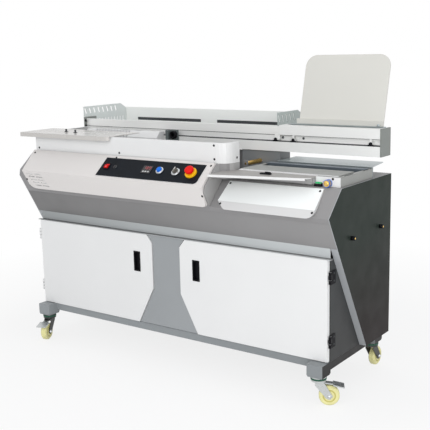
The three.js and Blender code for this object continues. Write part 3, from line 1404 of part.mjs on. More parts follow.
// Thickness knob: a fluted hand knob on the front of the nipping frame
function makeThicknessKnob() {
  const x = nipRightX - thicknessKnobInset;
  const z = nipBottomZ + thicknessKnobRise;
  const front = nipBoxFrontY - fitGap - thicknessKnobLength;
  const y = front + thicknessKnobLength / 2;
  const reach = thicknessKnobRadius - thicknessKnobRibRadius;
  const body = cylinder('y', [x, y, z], reach, thicknessKnobLength);
  const ribs = Array.from({ length: thicknessKnobRibs }, (_, i) => {
    const angle = 2 * Math.PI * i / thicknessKnobRibs;
    return cylinder('y', [x + reach * Math.cos(angle), y, z + reach * Math.sin(angle)],
      thicknessKnobRibRadius, thicknessKnobRibLength, cornerSteps);
  });
  place('thickness_knob', joined([body, ...ribs]), brass);
}

// Casters, each drawn in its own swivelling group with the trail along local +X
const forkTopZ = casterHeight - casterPlateThickness - fitGap;
const crownTopZ = forkTopZ - bearingHeight;
const crownBottomZ = crownTopZ - forkSheet * 2;
const legInnerY = wheelWidth / 2 + wheelSideGap;
const pedalPinZ = casterHeight - pedalPinDrop;

function makeFork(name, hasPedal) {
  const bearing = cylinder('z', [0, 0, (forkTopZ + crownTopZ) / 2], bearingRadius, bearingHeight);
  const crown = cylinder('z', [0, 0, (crownTopZ + crownBottomZ) / 2], bearingRadius,
    crownTopZ - crownBottomZ + fitGap);
  const half = forkLegWidth / 2;
  const legOutline = [
    [-half, crownTopZ], [-half, crownBottomZ - half],
    [casterTrail - half * forkHeelShare, wheelRadius - half * forkHeelDropShare],
    [casterTrail + half * forkSoleShare, wheelRadius - half], [casterTrail + half, wheelRadius],
    [half * forkShoulderShare, crownBottomZ - half * forkShoulderDropShare],
    [half * forkNeckShare, crownTopZ]];
  const legs = [-1, 1].map((side) => {
    const y = side > 0 ? [legInnerY, legInnerY + forkSheet] : [-legInnerY - forkSheet, -legInnerY];
    return prism('y', legOutline, ...y);
  });
  const axleLength = (legInnerY + forkSheet) * 2 + forkSheet;
  const axle = cylinder('y', [casterTrail, 0, wheelRadius], axleRadius, axleLength, smallSides);
  const solids = [bearing, crown, ...legs, axle];
  if (hasPedal) {
    solids.push(cylinder('y', [pedalPinX, 0, pedalPinZ], pedalPinRadius, (legInnerY + fitGap) * 2, pinSides));
  }
  return meshOf(name, joined(solids), zinc);
}

function makeWheel(name) {
  const half = wheelWidth / 2;
  const bore = axleRadius + fitGap;
  const profile = [
    [bore, -half - wheelSideGap / 2], [hubRadius, -half - wheelSideGap / 2], [hubRadius, -half],
    [wheelRadius - tyreEdge, -half], [wheelRadius, -half + tyreEdge], [wheelRadius, half - tyreEdge],
    [wheelRadius - tyreEdge, half], [hubRadius, half], [hubRadius, half + wheelSideGap / 2],
    [bore, half + wheelSideGap / 2], [bore, -half - wheelSideGap / 2]];
  const geometry = new THREE.LatheGeometry(profile.map(([r, y]) => new THREE.Vector2(r, y)), wheelSides);
  geometry.translate(casterTrail, 0, wheelRadius);
  return meshOf(name, solidOf(geometry), wheelCream);
}

function makePedal(name) {
  const tipZ = pedalPinZ - pedalTipDrop;
  const boss = cylinder('y', [pedalPinX, 0, pedalPinZ], pedalPinRadius + pedalSheet, pedalArmWidth,
    smallSides);
  const top = [[pedalPinX, pedalPinZ + pedalSheet], [pedalPadStartX - pedalSheet, pedalPinZ],
    [pedalTipX, tipZ + pedalSheet]];
  const outline = band(top, -pedalSheet, 0);
  const arm = prism('y', outline, -pedalArmWidth / 2, pedalArmWidth / 2);
  const pad = prism('y', outline, -pedalPadWidth / 2, pedalPadWidth / 2)
    .intersect(box([pedalPadStartX, pedalTipX * 2], [-pedalPadWidth, pedalPadWidth], [0, casterHeight]));
  const bore = cylinder('y', [pedalPinX, 0, pedalPinZ], pedalPinRadius + fitGap, pedalPadWidth * 2,
    pinSides);
  return meshOf(name, joined([boss, arm, pad]).subtract(bore), zinc);
}

function makeCaster(prefix, side, y, turnDegrees, hasPedal) {
  const group = new THREE.Group();
  group.position.set(side * blockCentreX, y, 0);
  group.rotation.z = THREE.MathUtils.degToRad(turnDegrees);
  group.add(makeFork(`${prefix}_caster_fork`, hasPedal), makeWheel(`${prefix}_caster_wheel`));
  if (hasPedal) {
    group.add(makePedal(`${prefix}_brake_pedal`));
  }
  return group;
}

makeBaseFrame();
makeWall('left_cabinet_wall', -1);
makeWall('right_cabinet_wall', 1);
makeRearPanel();
makeCentrePost();
makeFrontFascia();
makeSidePanel('left_side_panel', -1, leftBends.toReversed(), leftFrontY, leftDeckZ);
makeSidePanel('right_side_panel', 1, [[rightNoseY, rightNoseZ]], rightFrontY, rightDeckZ);
makeLeftHood();
makeRightHood();
makeMachineDeck();
makeDoor('left_door', 'left_door_pull', -1);
makeDoor('right_door', 'right_door_pull', 1);
makeControlCover();
makeControlPlate();
makeControls();
makeRightFrontCover();
makeSplashCover();
makeLeftTray();
makeDustHood();
makeBeam();
makeCarriage();
makeClampJaw();
makeRestPlate();
makeGuard();
makeMilling();
makeGlueUnit();
makeHousing();
makeNipFrame();
makeNipButton();
makeNipJaw();
makeRearPlaten();
makeCoverTable();
makeSideLay();
makeThicknessKnob();

const machine = new THREE.Group();
machine.add(...pieces, controlFace);
machine.add(makeCaster('front_left', -1, casterFrontY, frontLeftTurnDegrees, true));
machine.add(makeCaster('front_right', 1, casterFrontY, frontRightTurnDegrees, true));
machine.add(makeCaster('rear_left', -1, casterRearY, rearLeftTurnDegrees, false));
machine.add(makeCaster('rear_right', 1, casterRearY, rearRightTurnDegrees, false));

// The row's origin is at the middle of the machine's footprint, on the floor
machine.updateMatrixWorld(true);
const bounds = new THREE.Box3().setFromObject(machine, true);
const middle = bounds.getCenter(new THREE.Vector3());
machine.position.set(-middle.x, -middle.y, 0);
machine.updateMatrixWorld(true);

export default machine;
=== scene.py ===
# Looks of the thermal binding machine, in metres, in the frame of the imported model.
import json
import math

import bpy
from mathutils import Matrix, Vector


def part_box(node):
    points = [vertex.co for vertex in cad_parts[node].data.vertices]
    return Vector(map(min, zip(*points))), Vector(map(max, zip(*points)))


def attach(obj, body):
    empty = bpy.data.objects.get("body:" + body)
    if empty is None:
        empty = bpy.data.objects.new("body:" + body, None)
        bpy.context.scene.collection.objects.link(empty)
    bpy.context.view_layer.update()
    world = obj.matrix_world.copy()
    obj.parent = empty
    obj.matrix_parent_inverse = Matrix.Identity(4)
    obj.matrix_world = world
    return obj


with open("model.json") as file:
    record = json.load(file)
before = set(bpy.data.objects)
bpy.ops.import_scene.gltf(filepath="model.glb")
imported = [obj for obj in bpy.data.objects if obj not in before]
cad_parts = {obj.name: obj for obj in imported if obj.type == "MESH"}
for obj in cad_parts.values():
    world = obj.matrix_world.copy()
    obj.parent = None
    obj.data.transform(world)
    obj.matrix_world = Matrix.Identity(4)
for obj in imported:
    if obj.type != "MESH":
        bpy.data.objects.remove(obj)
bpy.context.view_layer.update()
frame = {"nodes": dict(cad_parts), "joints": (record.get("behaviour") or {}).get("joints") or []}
nodes = frame["nodes"]

# The drawing's zero is the middle of the body's length; the row's zero is the middle of its footprint
SHIFT = Vector((0.01466283, -0.10887910, 0.0))


def at(x, y, z):
    """A place of the drawing, in millimetres, in the row frame, in metres."""
    return Vector((x / 1000, y / 1000, z / 1000)) + SHIFT


# Camera: fitted to the photograph's corners
CAMERA_PLACE = at(2076.04, -2699.30, 1274.61)
CAMERA_YAW = 0.627855
CAMERA_PITCH = 0.196879
CAMERA_ROLL = -0.0235181
CAMERA_LENS = 70.6
SENSOR_WIDTH = 36.0


def make_camera():
    data = bpy.data.cameras.new("camera")
    data.sensor_fit = "HORIZONTAL"
    data.sensor_width = SENSOR_WIDTH
    data.lens = CAMERA_LENS
    data.clip_end = 60
    camera = bpy.data.objects.new("camera", data)
    bpy.context.scene.collection.objects.link(camera)
    forward = Vector((-math.sin(CAMERA_YAW) * math.cos(CAMERA_PITCH),
                      math.cos(CAMERA_YAW) * math.cos(CAMERA_PITCH), -math.sin(CAMERA_PITCH)))
    level = Vector((math.cos(CAMERA_YAW), math.sin(CAMERA_YAW), 0.0))
    upright = level.cross(forward)
    right = level * math.cos(CAMERA_ROLL) + upright * math.sin(CAMERA_ROLL)
    up = upright * math.cos(CAMERA_ROLL) - level * math.sin(CAMERA_ROLL)
    turn = Matrix((right, up, -forward)).transposed().to_4x4()
    camera.matrix_world = Matrix.Translation(CAMERA_PLACE) @ turn
    bpy.context.scene.camera = camera


make_camera()


# Materials: the middle range of a noise, the sockets of a colour mix, how many repeats a metre the
# noises have, and the depths of the fine relief in metres
NOISE_LOW = 0.3
NOISE_HIGH = 0.7
MIX_SHARE = 0
MIX_FIRST = 6
MIX_SECOND = 7
MIX_RESULT = 2
EDGE_SAMPLES = 4
TONE_SCALE = 2.2
SMEAR_SCALE = 14.0
PEEL_SCALE = 900.0
BRUSH_SCALE = 60.0
CLOUD_SCALE = 5.0
PLASTIC_SCALE = 30.0
PEEL_DEPTH = 0.0004
GRAIN_DEPTH = 0.0003
COAT_ROUGHNESS = 0.25
PAINT_EDGE = 0.0012
# Where the painted light and shade that fades a paint along X starts and ends
FADE_START = -0.75
FADE_END = 0.5
# The dark panels: heights between which their paint drifts, and how uneven and glossy it is
PANEL_TOP = 0.75
PANEL_BOTTOM = 0.2
PANEL_CLOUD_SCALE = 1.6
PANEL_CLOUD = 0.4
PANEL_SMEAR_SCALE = 12.0
PANEL_TONES = (0.15, 1.25 / 1.4)
PANEL_ROUGHNESS = (0.36, 0.5)
PANEL_SPECULAR = 0.08


class Nodes:
    """A material's node tree with short calls to add and join nodes."""

    def __init__(self, name):
        self.material = bpy.data.materials.new(name)
        self.material.use_nodes = True
        self.tree = self.material.node_tree
        self.shader = self.tree.nodes["Principled BSDF"]

    def add(self, kind, **values):
        """A node with its inputs or settings by name."""
        node = self.tree.nodes.new(kind)
        for key, value in values.items():
            if key in node.inputs:
                node.inputs[key].default_value = value
            else:
                setattr(node, key, value)
        return node

    def join(self, start, end):
        self.tree.links.new(start, end)

    def place(self, scale=(1.0, 1.0, 1.0)):
        """The object's own coordinates, scaled along each axis."""
        texture_place = self.add("ShaderNodeTexCoord")
        mapping = self.add("ShaderNodeMapping")
        mapping.inputs["Scale"].default_value = scale
        self.join(texture_place.outputs["Object"], mapping.inputs["Vector"])
        return mapping.outputs["Vector"]

    def noise(self, scale, detail=3.0, stretch=(1.0, 1.0, 1.0), roughness=0.5):
        noise = self.add("ShaderNodeTexNoise", Scale=scale, Detail=detail, Roughness=roughness)
        self.join(self.place(stretch), noise.inputs["Vector"])
        return noise.outputs["Fac"]

    def ramp(self, value, low, high, start=NOISE_LOW, end=NOISE_HIGH):
        """A value as a colour between two colours."""
        ramp = self.add("ShaderNodeValToRGB")
        ramp.color_ramp.elements[0].position = start
        ramp.color_ramp.elements[0].color = (*low, 1.0)
        ramp.color_ramp.elements[1].position = end
        ramp.color_ramp.elements[1].color = (*high, 1.0)
        self.join(value, ramp.inputs["Fac"])
        return ramp.outputs["Color"]

    def spread(self, value, low, high):
        """The middle range of a noise as a value between two others."""
        spread = self.add("ShaderNodeMapRange")
        spread.inputs["From Min"].default_value = NOISE_LOW
        spread.inputs["From Max"].default_value = NOISE_HIGH
        spread.inputs["To Min"].default_value = low
        spread.inputs["To Max"].default_value = high
        self.join(value, spread.inputs["Value"])
        return spread.outputs["Result"]

    def bump(self, value, strength, distance, edge=0.0):
        """A fine relief, with edges that look rounded by a radius."""
        bump = self.add("ShaderNodeBump", Strength=strength, Distance=distance)
        self.join(value, bump.inputs["Height"])
        if edge > 0:
            bevel = self.add("ShaderNodeBevel", samples=EDGE_SAMPLES, Radius=edge)
            self.join(bevel.outputs["Normal"], bump.inputs["Normal"])
        self.join(bump.outputs["Normal"], self.shader.inputs["Normal"])

    def two_tone(self, color, other, axis, along, limit=0.6, from_x=None):
        """Another colour where a face looks along an axis, or where not; from_x keeps it to the right."""
        geometry = self.add("ShaderNodeNewGeometry")
        split = self.add("ShaderNodeSeparateXYZ")
        size = self.add("ShaderNodeMath", operation="ABSOLUTE")
        test = self.add("ShaderNodeMath", operation="GREATER_THAN" if along else "LESS_THAN")
        test.inputs[1].default_value = limit
        mix = self.add("ShaderNodeMix", data_type="RGBA")
        mix.inputs[MIX_SECOND].default_value = (*other, 1.0)
        self.join(geometry.outputs["True Normal"], split.inputs["Vector"])
        self.join(split.outputs[axis], size.inputs[0])
        self.join(size.outputs[0], test.inputs[0])
        share = test.outputs[0]
        if from_x is not None:
            texture_place = self.add("ShaderNodeTexCoord")
            parts = self.add("ShaderNodeSeparateXYZ")
            beyond = self.add("ShaderNodeMath", operation="GREATER_THAN")
            both = self.add("ShaderNodeMath", operation="MULTIPLY")
            beyond.inputs[1].default_value = from_x
            self.join(texture_place.outputs["Object"], parts.inputs["Vector"])
            self.join(parts.outputs["X"], beyond.inputs[0])
            self.join(share, both.inputs[0])
            self.join(beyond.outputs[0], both.inputs[1])
            share = both.outputs[0]
        self.join(share, mix.inputs[MIX_SHARE])
        self.join(color, mix.inputs[MIX_FIRST])
        return mix.outputs[MIX_RESULT]

    def fade(self, color, share):
        """The colour times a share at the left end, going over to the colour itself at the right: painted
        light and shade along X.
        """
        texture_place = self.add("ShaderNodeTexCoord")
        split = self.add("ShaderNodeSeparateXYZ")
        value = self.add("ShaderNodeMapRange")
        value.inputs["From Min"].default_value = FADE_START
        value.inputs["From Max"].default_value = FADE_END
        value.inputs["To Min"].default_value = share
        value.inputs["To Max"].default_value = 1.0
        scale = self.add("ShaderNodeVectorMath", operation="SCALE")
        self.join(texture_place.outputs["Object"], split.inputs["Vector"])
        self.join(split.outputs["X"], value.inputs["Value"])
        self.join(color, scale.inputs[0])
        self.join(value.outputs["Result"], scale.inputs["Scale"])
        return scale.outputs["Vector"]


def scaled(color, share):
    """A colour times a share, with no part over 1."""
    return tuple(min(1.0, part * share) for part in color)


def painted(name, color, roughness=0.42, grain=0.10, variation=0.05, edge=PAINT_EDGE, coat=0.0,
            other=None, axis="Y", limit=0.6, specular=0.5, left=1.0, from_x=None):
    """Powder coat: a fine orange peel, a slow drift of tone and edges that look slightly rounded."""
    nodes_of = Nodes(name)
    tone = nodes_of.ramp(nodes_of.noise(TONE_SCALE, 4.0), scaled(color, 1 - variation),
                         scaled(color, 1 + variation))
    if other:
        tone = nodes_of.two_tone(tone, other, axis, True, limit, from_x)
    # A left share other than 1 fades the colour along X: painted light and shade
    if left != 1:
        tone = nodes_of.fade(tone, left)
    nodes_of.join(tone, nodes_of.shader.inputs["Base Color"])
    smear = nodes_of.noise(SMEAR_SCALE, 5.0)
    nodes_of.join(nodes_of.spread(smear, roughness - 0.05, roughness + 0.07),
                  nodes_of.shader.inputs["Roughness"])
    nodes_of.bump(nodes_of.noise(PEEL_SCALE, 2.0), grain, PEEL_DEPTH, edge)
    nodes_of.shader.inputs["Specular IOR Level"].default_value = specular
    nodes_of.shader.inputs["Coat Weight"].default_value = coat
    nodes_of.shader.inputs["Coat Roughness"].default_value = COAT_ROUGHNESS
    return nodes_of.material


def metal(name, color, roughness=0.3, stretch=(1.0, 30.0, 30.0), grain=0.08, metallic=1.0,
          edge=0.0008, variation=0.08):
    """Brushed or drawn metal: fine lines along one direction and a slow drift of tone."""
    nodes_of = Nodes(name)
    lines = nodes_of.noise(BRUSH_SCALE, 4.0, stretch, 0.7)
    cloud = nodes_of.noise(CLOUD_SCALE, 3.0)
    total = nodes_of.add("ShaderNodeMath", operation="ADD")
    half = nodes_of.add("ShaderNodeMath", operation="MULTIPLY")
    half.inputs[1].default_value = 0.5
    nodes_of.join(lines, total.inputs[0])
    nodes_of.join(cloud, total.inputs[1])
    nodes_of.join(total.outputs[0], half.inputs[0])
    tone = nodes_of.ramp(half.outputs[0], scaled(color, 1 - variation), scaled(color, 1 + variation))
    nodes_of.join(tone, nodes_of.shader.inputs["Base Color"])
    nodes_of.join(nodes_of.spread(lines, roughness - 0.07, roughness + 0.12),
                  nodes_of.shader.inputs["Roughness"])
    nodes_of.shader.inputs["Metallic"].default_value = metallic
    nodes_of.bump(lines, grain, GRAIN_DEPTH, edge)
    return nodes_of.material


def plastic(name, color, roughness=0.4, grain=0.06, scale=1400.0, edge=0.0006, variation=0.06,
            specular=0.5):
    """Moulded plastic with a fine texture."""
    nodes_of = Nodes(name)
    drift = nodes_of.noise(PLASTIC_SCALE, 3.0)
    nodes_of.join(nodes_of.ramp(drift, scaled(color, 1 - variation), scaled(color, 1 + variation)),
                  nodes_of.shader.inputs["Base Color"])
    nodes_of.join(nodes_of.spread(drift, roughness - 0.04, roughness + 0.06),
                  nodes_of.shader.inputs["Roughness"])
    nodes_of.shader.inputs["Specular IOR Level"].default_value = specular
    nodes_of.bump(nodes_of.noise(scale, 2.0), grain, GRAIN_DEPTH, edge)
    return nodes_of.material


def panel_paint(name, top, bottom, fold):
    """Dark paint that drifts from one colour above to another below, with a third on the folds, which is
    a painted highlight where it is lighter.
    """
    nodes_of = Nodes(name)
    texture_place = nodes_of.add("ShaderNodeTexCoord")
    split = nodes_of.add("ShaderNodeSeparateXYZ")
    nodes_of.join(texture_place.outputs["Object"], split.inputs["Vector"])
    height = nodes_of.add("ShaderNodeMapRange")
    height.inputs["From Min"].default_value = PANEL_BOTTOM
    height.inputs["From Max"].default_value = PANEL_TOP
    nodes_of.join(split.outputs["Z"], height.inputs["Value"])
    cloud = nodes_of.noise(PANEL_CLOUD_SCALE, 4.0)
    add = nodes_of.add("ShaderNodeMath", operation="MULTIPLY_ADD")
    add.inputs[1].default_value = PANEL_CLOUD
    nodes_of.join(cloud, add.inputs[0])
    nodes_of.join(height.outputs["Result"], add.inputs[2])
    tone = nodes_of.ramp(add.outputs[0], bottom, top, *PANEL_TONES)
    # The faces that don't look along X, the folded front flanges, take the fold colour: a painted
    # highlight on the side panels
    nodes_of.join(nodes_of.two_tone(tone, fold, "X", False), nodes_of.shader.inputs["Base Color"])
    nodes_of.join(nodes_of.spread(nodes_of.noise(PANEL_SMEAR_SCALE, 4.0), *PANEL_ROUGHNESS),
                  nodes_of.shader.inputs["Roughness"])
    nodes_of.shader.inputs["Specular IOR Level"].default_value = PANEL_SPECULAR
    nodes_of.bump(nodes_of.noise(PEEL_SCALE, 2.0), 0.1, PEEL_DEPTH, PAINT_EDGE)
    return nodes_of.material


# Colours are linear red, green and blue
materials = {
    "body": painted("body_grey_paint", (0.262, 0.256, 0.257)),
    # The hood's faces that look along X take a lighter colour: painted light on the step wall, which lies
    # in shade
    "hood": painted("hood_grey_paint_lit_end_wall", (0.262, 0.256, 0.257), other=(0.40, 0.395, 0.39), axis="X",
                    limit=0.8),
    # The fascia's upright faces, which look along Y, take a lighter colour as painted light, and the
    # whole fascia darkens towards the left as painted shade
    "fascia": painted("fascia_grey_paint_lit_rail_shaded_left", (0.275, 0.270, 0.270), other=(0.49, 0.515, 0.52), limit=0.95,
                      left=0.62),
    # The base grows lighter towards its left end: painted light
    "base": painted("base_grey_paint_lit_left", (0.245, 0.26, 0.268), other=(0.018, 0.017, 0.017), axis="X",
                    specular=0.2, left=1.28, from_x=0.6),
    "housing": painted("housing_grey_paint", (0.215, 0.225, 0.23)),
    "end_plate": painted("end_plate_paint", (0.235, 0.25, 0.235), roughness=0.55, grain=0.5),
    "nip": painted("nip_frame_paint", (0.31, 0.315, 0.30), other=(0.78, 0.78, 0.78), specular=0.25),
    "post": painted("post_grey_paint", (0.31, 0.325, 0.335)),
    # The side panels' folds are painted lighter: a painted highlight on their front flanges
    "panel": panel_paint("panel_dark_paint_lit_folds", (0.023, 0.031, 0.026), (0.022, 0.0155, 0.0155),
                         (0.42, 0.435, 0.45)),
    "wall": panel_paint("wall_dark_paint", (0.066, 0.070, 0.072), (0.060, 0.060, 0.060),
                        (0.06, 0.06, 0.06)),
    "white": painted("cover_white_paint", (0.78, 0.78, 0.775), roughness=0.36, variation=0.02, coat=0.1),
    "warm_white": painted("warm_white_paint", (0.71, 0.68, 0.66), roughness=0.36, variation=0.02,
                          coat=0.1),
    # The right cover's slope, which looks up, takes a lighter colour than its lip: painted light on the
    # slope and painted shade on the lip
    "right_white_lit_slope": painted("right_cover_paint_lit_slope", (0.66, 0.655, 0.65), roughness=0.36, variation=0.02,
                           coat=0.1, other=(0.90, 0.92, 0.91), axis="Z", limit=0.7),
    "tray": painted("tray_paint", (0.54, 0.52, 0.495), roughness=0.24, variation=0.03, coat=0.1),
    "rest": painted("rest_paint", (0.655, 0.645, 0.60), roughness=0.5, variation=0.02),
    "guard": painted("guard_paint", (0.70, 0.74, 0.72), roughness=0.36, variation=0.04),
    # A darker copy of the guard paint: painted shade on the right guard
    "guard_right": painted("guard_right_paint_shaded", (0.42, 0.47, 0.45), roughness=0.36, variation=0.04),
    # A lighter copy of the guard paint, whiter than the paint itself: painted light on the guard's back
    "guard_back": painted("guard_back_paint_lit", (0.95, 0.96, 0.93), roughness=0.36, variation=0.02),
    "rail": metal("rail_aluminium", (0.88, 0.88, 0.86), roughness=0.42, metallic=0.12, grain=0.04,
                  variation=0.03),
    "carriage": painted("carriage_paint", (0.84, 0.84, 0.82), roughness=0.34, variation=0.03),
    "steel": metal("ground_steel", (0.43, 0.475, 0.485), roughness=0.3, metallic=0.75),
    "jaw": metal("jaw_steel", (0.16, 0.19, 0.22), roughness=0.4, metallic=0.7),
    # The plate's front faces, which look along Y, are painted white: a painted highlight on its front
    # edge
    "table": painted("table_plate_lit_edge", (0.36, 0.345, 0.33), roughness=0.45, other=(0.76, 0.76, 0.75),
                     specular=0.25),
    "bright": metal("bright_steel", (0.62, 0.64, 0.66), roughness=0.24),
    "selector": metal("selector_steel", (0.24, 0.23, 0.21), roughness=0.4, metallic=0.7),
    "dark_steel": metal("dark_steel", (0.07, 0.075, 0.08), roughness=0.45, metallic=0.6, variation=0.15),
    "suction": painted("suction_bracket_paint", (0.13, 0.15, 0.15)),
    "zinc": metal("zinc_plate", (0.58, 0.60, 0.60), roughness=0.3, stretch=(4.0, 4.0, 4.0),
                  variation=0.12),
    # A dark copy of the zinc plate: painted shade on the forks of two casters, which lie in shadow
    "shaded_zinc": metal("shaded_zinc_plate", (0.06, 0.062, 0.06), roughness=0.4, stretch=(4.0, 4.0, 4.0),
                       metallic=0.6, variation=0.12),
    "brass": metal("brass", (0.78, 0.52, 0.16), roughness=0.28),
    "black": plastic("black_plastic", (0.006, 0.006, 0.008), roughness=0.5, specular=0.12),
    "plate": plastic("plate_black", (0.008, 0.010, 0.014), roughness=0.42, variation=0.2,
                     specular=0.08),
    "red": plastic("red_plastic", (0.74, 0.008, 0.006), roughness=0.4, specular=0.15),
    "yellow": plastic("yellow_plastic", (0.90, 0.50, 0.006), roughness=0.4, specular=0.2),
    "blue": plastic("blue_plastic", (0.008, 0.16, 0.70), roughness=0.35, specular=0.2),
    "green": plastic("green_plastic", (0.005, 0.50, 0.14), roughness=0.4, specular=0.2),
    "seal": plastic("seal_rubber", (0.004, 0.075, 0.04), roughness=0.5),
    "wheel": plastic("wheel_polyurethane", (0.79, 0.75, 0.36), roughness=0.38, variation=0.08),
    "wheel_dark": plastic("wheel_rim", (0.56, 0.50, 0.15), roughness=0.45, variation=0.1),
    "glue": plastic("glue", (0.62, 0.40, 0.12), roughness=0.2, grain=0.2, scale=40.0, variation=0.2),
    "white_print": plastic("white_print", (0.62, 0.62, 0.62), roughness=0.6),
    "display": plastic("display_glass", (0.02, 0.018, 0.02), roughness=0.08, grain=0.0),
    "dark_red": plastic("display_segments", (0.42, 0.06, 0.07), roughness=0.35),
}

# The material of each CAD piece
NODE_MATERIALS = {
    "body": ["rear_panel", "right_hood", "machine_deck"],
    "hood": ["left_hood"],
    "base": ["base_frame"],
    "fascia": ["front_fascia"],
    "housing": ["rear_housing"],
    "end_plate": ["beam_left_end_plate", "beam_right_end_plate"],
    "nip": ["nip_frame"],
    "post": ["centre_post"],
    "panel": ["left_side_panel", "right_side_panel"],
    "wall": ["left_cabinet_wall", "right_cabinet_wall"],
    "white": ["left_door", "right_door", "splash_cover", "dust_hood"],
    "right_white_lit_slope": ["right_front_cover"],
    "warm_white": ["control_cover"],
    "tray": ["left_tray"],
    "rest": ["book_rest"],
    "guard": ["guard_left"],
    "guard_right": ["guard_right"],
    "guard_back": ["guard_back"],
    "rail": ["beam_front_rail"],
    "carriage": ["clamp_carriage"],
    "steel": ["beam_rear_rail", "clamp_jaw", "rear_platen"],
    "jaw": ["nip_jaw"],
    "table": ["cover_table"],
    "bright": ["milling_cutter", "glue_roller_1", "glue_roller_2"],
    "selector": ["selector_switch"],
    "dark_steel": ["milling_motor", "glue_tank"],
    "zinc": ["front_right_caster_fork", "rear_left_caster_fork", "front_left_brake_pedal",
             "front_right_brake_pedal"],
    "shaded_zinc": ["front_left_caster_fork", "rear_right_caster_fork"],
    "brass": ["cover_feed_roller", "thickness_knob"],
    "black": ["left_door_pull", "right_door_pull", "side_lay"],
    "plate": ["control_plate"],
    "red": ["power_switch", "emergency_stop_button"],
    "yellow": ["emergency_stop_base"],
    "blue": ["start_button"],
    "green": ["nip_button"],
    "wheel": ["front_left_caster_wheel", "front_right_caster_wheel", "rear_left_caster_wheel",
              "rear_right_caster_wheel"],
}
for finish, names in NODE_MATERIALS.items():
    for name in names:
        nodes[name].data.materials.clear()
        nodes[name].data.materials.append(materials[finish])


# Floor and world: the floor is a little grey near the machine and white away from it
FLOOR_HALF = 30.0
FLOOR_GREY = 0.86
FLOOR_FADE = (1.0, 2.2)
FLOOR_NEAR_SHARE = 0.8
WORLD_COLOR = (0.95, 0.97, 1.0, 1.0)
WORLD_STRENGTH = 0.62
WHITE = (1.0, 1.0, 1.0, 1.0)


def seen_directly(tree):
    """1 for the rays that show the white background: camera, glossy and transmission rays."""
    paths = tree.nodes.new("ShaderNodeLightPath")
    value = paths.outputs["Is Camera Ray"]
    for name in ("Is Glossy Ray", "Is Transmission Ray"):
        largest = tree.nodes.new("ShaderNodeMath")
        largest.operation = "MAXIMUM"
        tree.links.new(value, largest.inputs[0])
        tree.links.new(paths.outputs[name], largest.inputs[1])
        value = largest.outputs[0]
    return value


def make_floor():
    mesh = bpy.data.meshes.new("floor")
    corners = [(-FLOOR_HALF, -FLOOR_HALF, 0), (FLOOR_HALF, -FLOOR_HALF, 0), (FLOOR_HALF, FLOOR_HALF, 0),
               (-FLOOR_HALF, FLOOR_HALF, 0)]
    mesh.from_pydata(corners, [], [(0, 1, 2, 3)])
    floor = bpy.data.objects.new("floor", mesh)
    bpy.context.scene.collection.objects.link(floor)
    material = bpy.data.materials.new("floor")
    material.use_nodes = True
    tree = material.node_tree
    shader = tree.nodes["Principled BSDF"]
    shader.inputs["Base Color"].default_value = (FLOOR_GREY, FLOOR_GREY, FLOOR_GREY, 1.0)
    shader.inputs["Roughness"].default_value = 0.9
    shader.inputs["Specular IOR Level"].default_value = 0.1
    white = tree.nodes.new("ShaderNodeEmission")
    white.inputs["Color"].default_value = WHITE
    white.inputs["Strength"].default_value = 1.0
    mix = tree.nodes.new("ShaderNodeMixShader")
    floor_place = tree.nodes.new("ShaderNodeTexCoord")
    distance = tree.nodes.new("ShaderNodeVectorMath")
    distance.operation = "LENGTH"
    fade = tree.nodes.new("ShaderNodeMapRange")
    fade.inputs["From Min"].default_value = FLOOR_FADE[0]
    fade.inputs["From Max"].default_value = FLOOR_FADE[1]
    fade.inputs["To Min"].default_value = FLOOR_NEAR_SHARE
    fade.inputs["To Max"].default_value = 1.0
    share = tree.nodes.new("ShaderNodeMath")
    share.operation = "MULTIPLY"
    tree.links.new(floor_place.outputs["Object"], distance.inputs[0])
    tree.links.new(distance.outputs["Value"], fade.inputs["Value"])
    tree.links.new(seen_directly(tree), share.inputs[0])
    tree.links.new(fade.outputs["Result"], share.inputs[1])
    tree.links.new(share.outputs[0], mix.inputs[0])
    tree.links.new(shader.outputs["BSDF"], mix.inputs[1])
    tree.links.new(white.outputs["Emission"], mix.inputs[2])
    tree.links.new(mix.outputs["Shader"], tree.nodes["Material Output"].inputs["Surface"])
    mesh.materials.append(material)


def make_world():
    world = bpy.data.worlds.new("studio")
    bpy.context.scene.world = world
    world.use_nodes = True
    tree = world.node_tree
    background = tree.nodes["Background"]
    background.inputs["Color"].default_value = WORLD_COLOR
    background.inputs["Strength"].default_value = WORLD_STRENGTH
    shown = tree.nodes.new("ShaderNodeBackground")
    shown.inputs["Color"].default_value = WHITE
    shown.inputs["Strength"].default_value = 1.0
    mix = tree.nodes.new("ShaderNodeMixShader")
    tree.links.new(seen_directly(tree), mix.inputs[0])
    tree.links.new(background.outputs[0], mix.inputs[1])
    tree.links.new(shown.outputs[0], mix.inputs[2])
    tree.links.new(mix.outputs[0], tree.nodes["World Output"].inputs["Surface"])


# Lamps: name, place, target, power in watts and size in metres
LAMPS = (
    ("key", (0.2, -3.9, 3.0), (0.2, -0.1, 0.6), 34, 2.4),
    ("front", (2.9, -3.7, 1.5), (0.4, -0.1, 0.5), 68, 2.6),
    ("top", (0.0, 0.4, 4.0), (0.0, 0.0, 0.8), 18, 2.6),
    ("right", (4.2, 0.0, 1.9), (0.5, 0.0, 0.6), 14, 2.0),
)


def make_lamp(name, place, target, energy, size):
    """A square area lamp at a place, facing a target."""
    data = bpy.data.lights.new(name, "AREA")
    data.energy = energy
    data.size = size
    light = bpy.data.objects.new(name, data)
    bpy.context.scene.collection.objects.link(light)
    light.location = place
    light.rotation_euler = (Vector(target) - Vector(place)).to_track_quat("-Z", "Y").to_euler()


make_floor()
make_world()
for lamp_values in LAMPS:
    make_lamp(*lamp_values)
bpy.context.scene.view_settings.view_transform = "Standard"


# Pieces
BOX_FACES = [(0, 3, 2, 1), (4, 5, 6, 7), (0, 1, 5, 4), (1, 2, 6, 5), (2, 3, 7, 6), (3, 0, 4, 7)]
ENDS = (-1, 1)


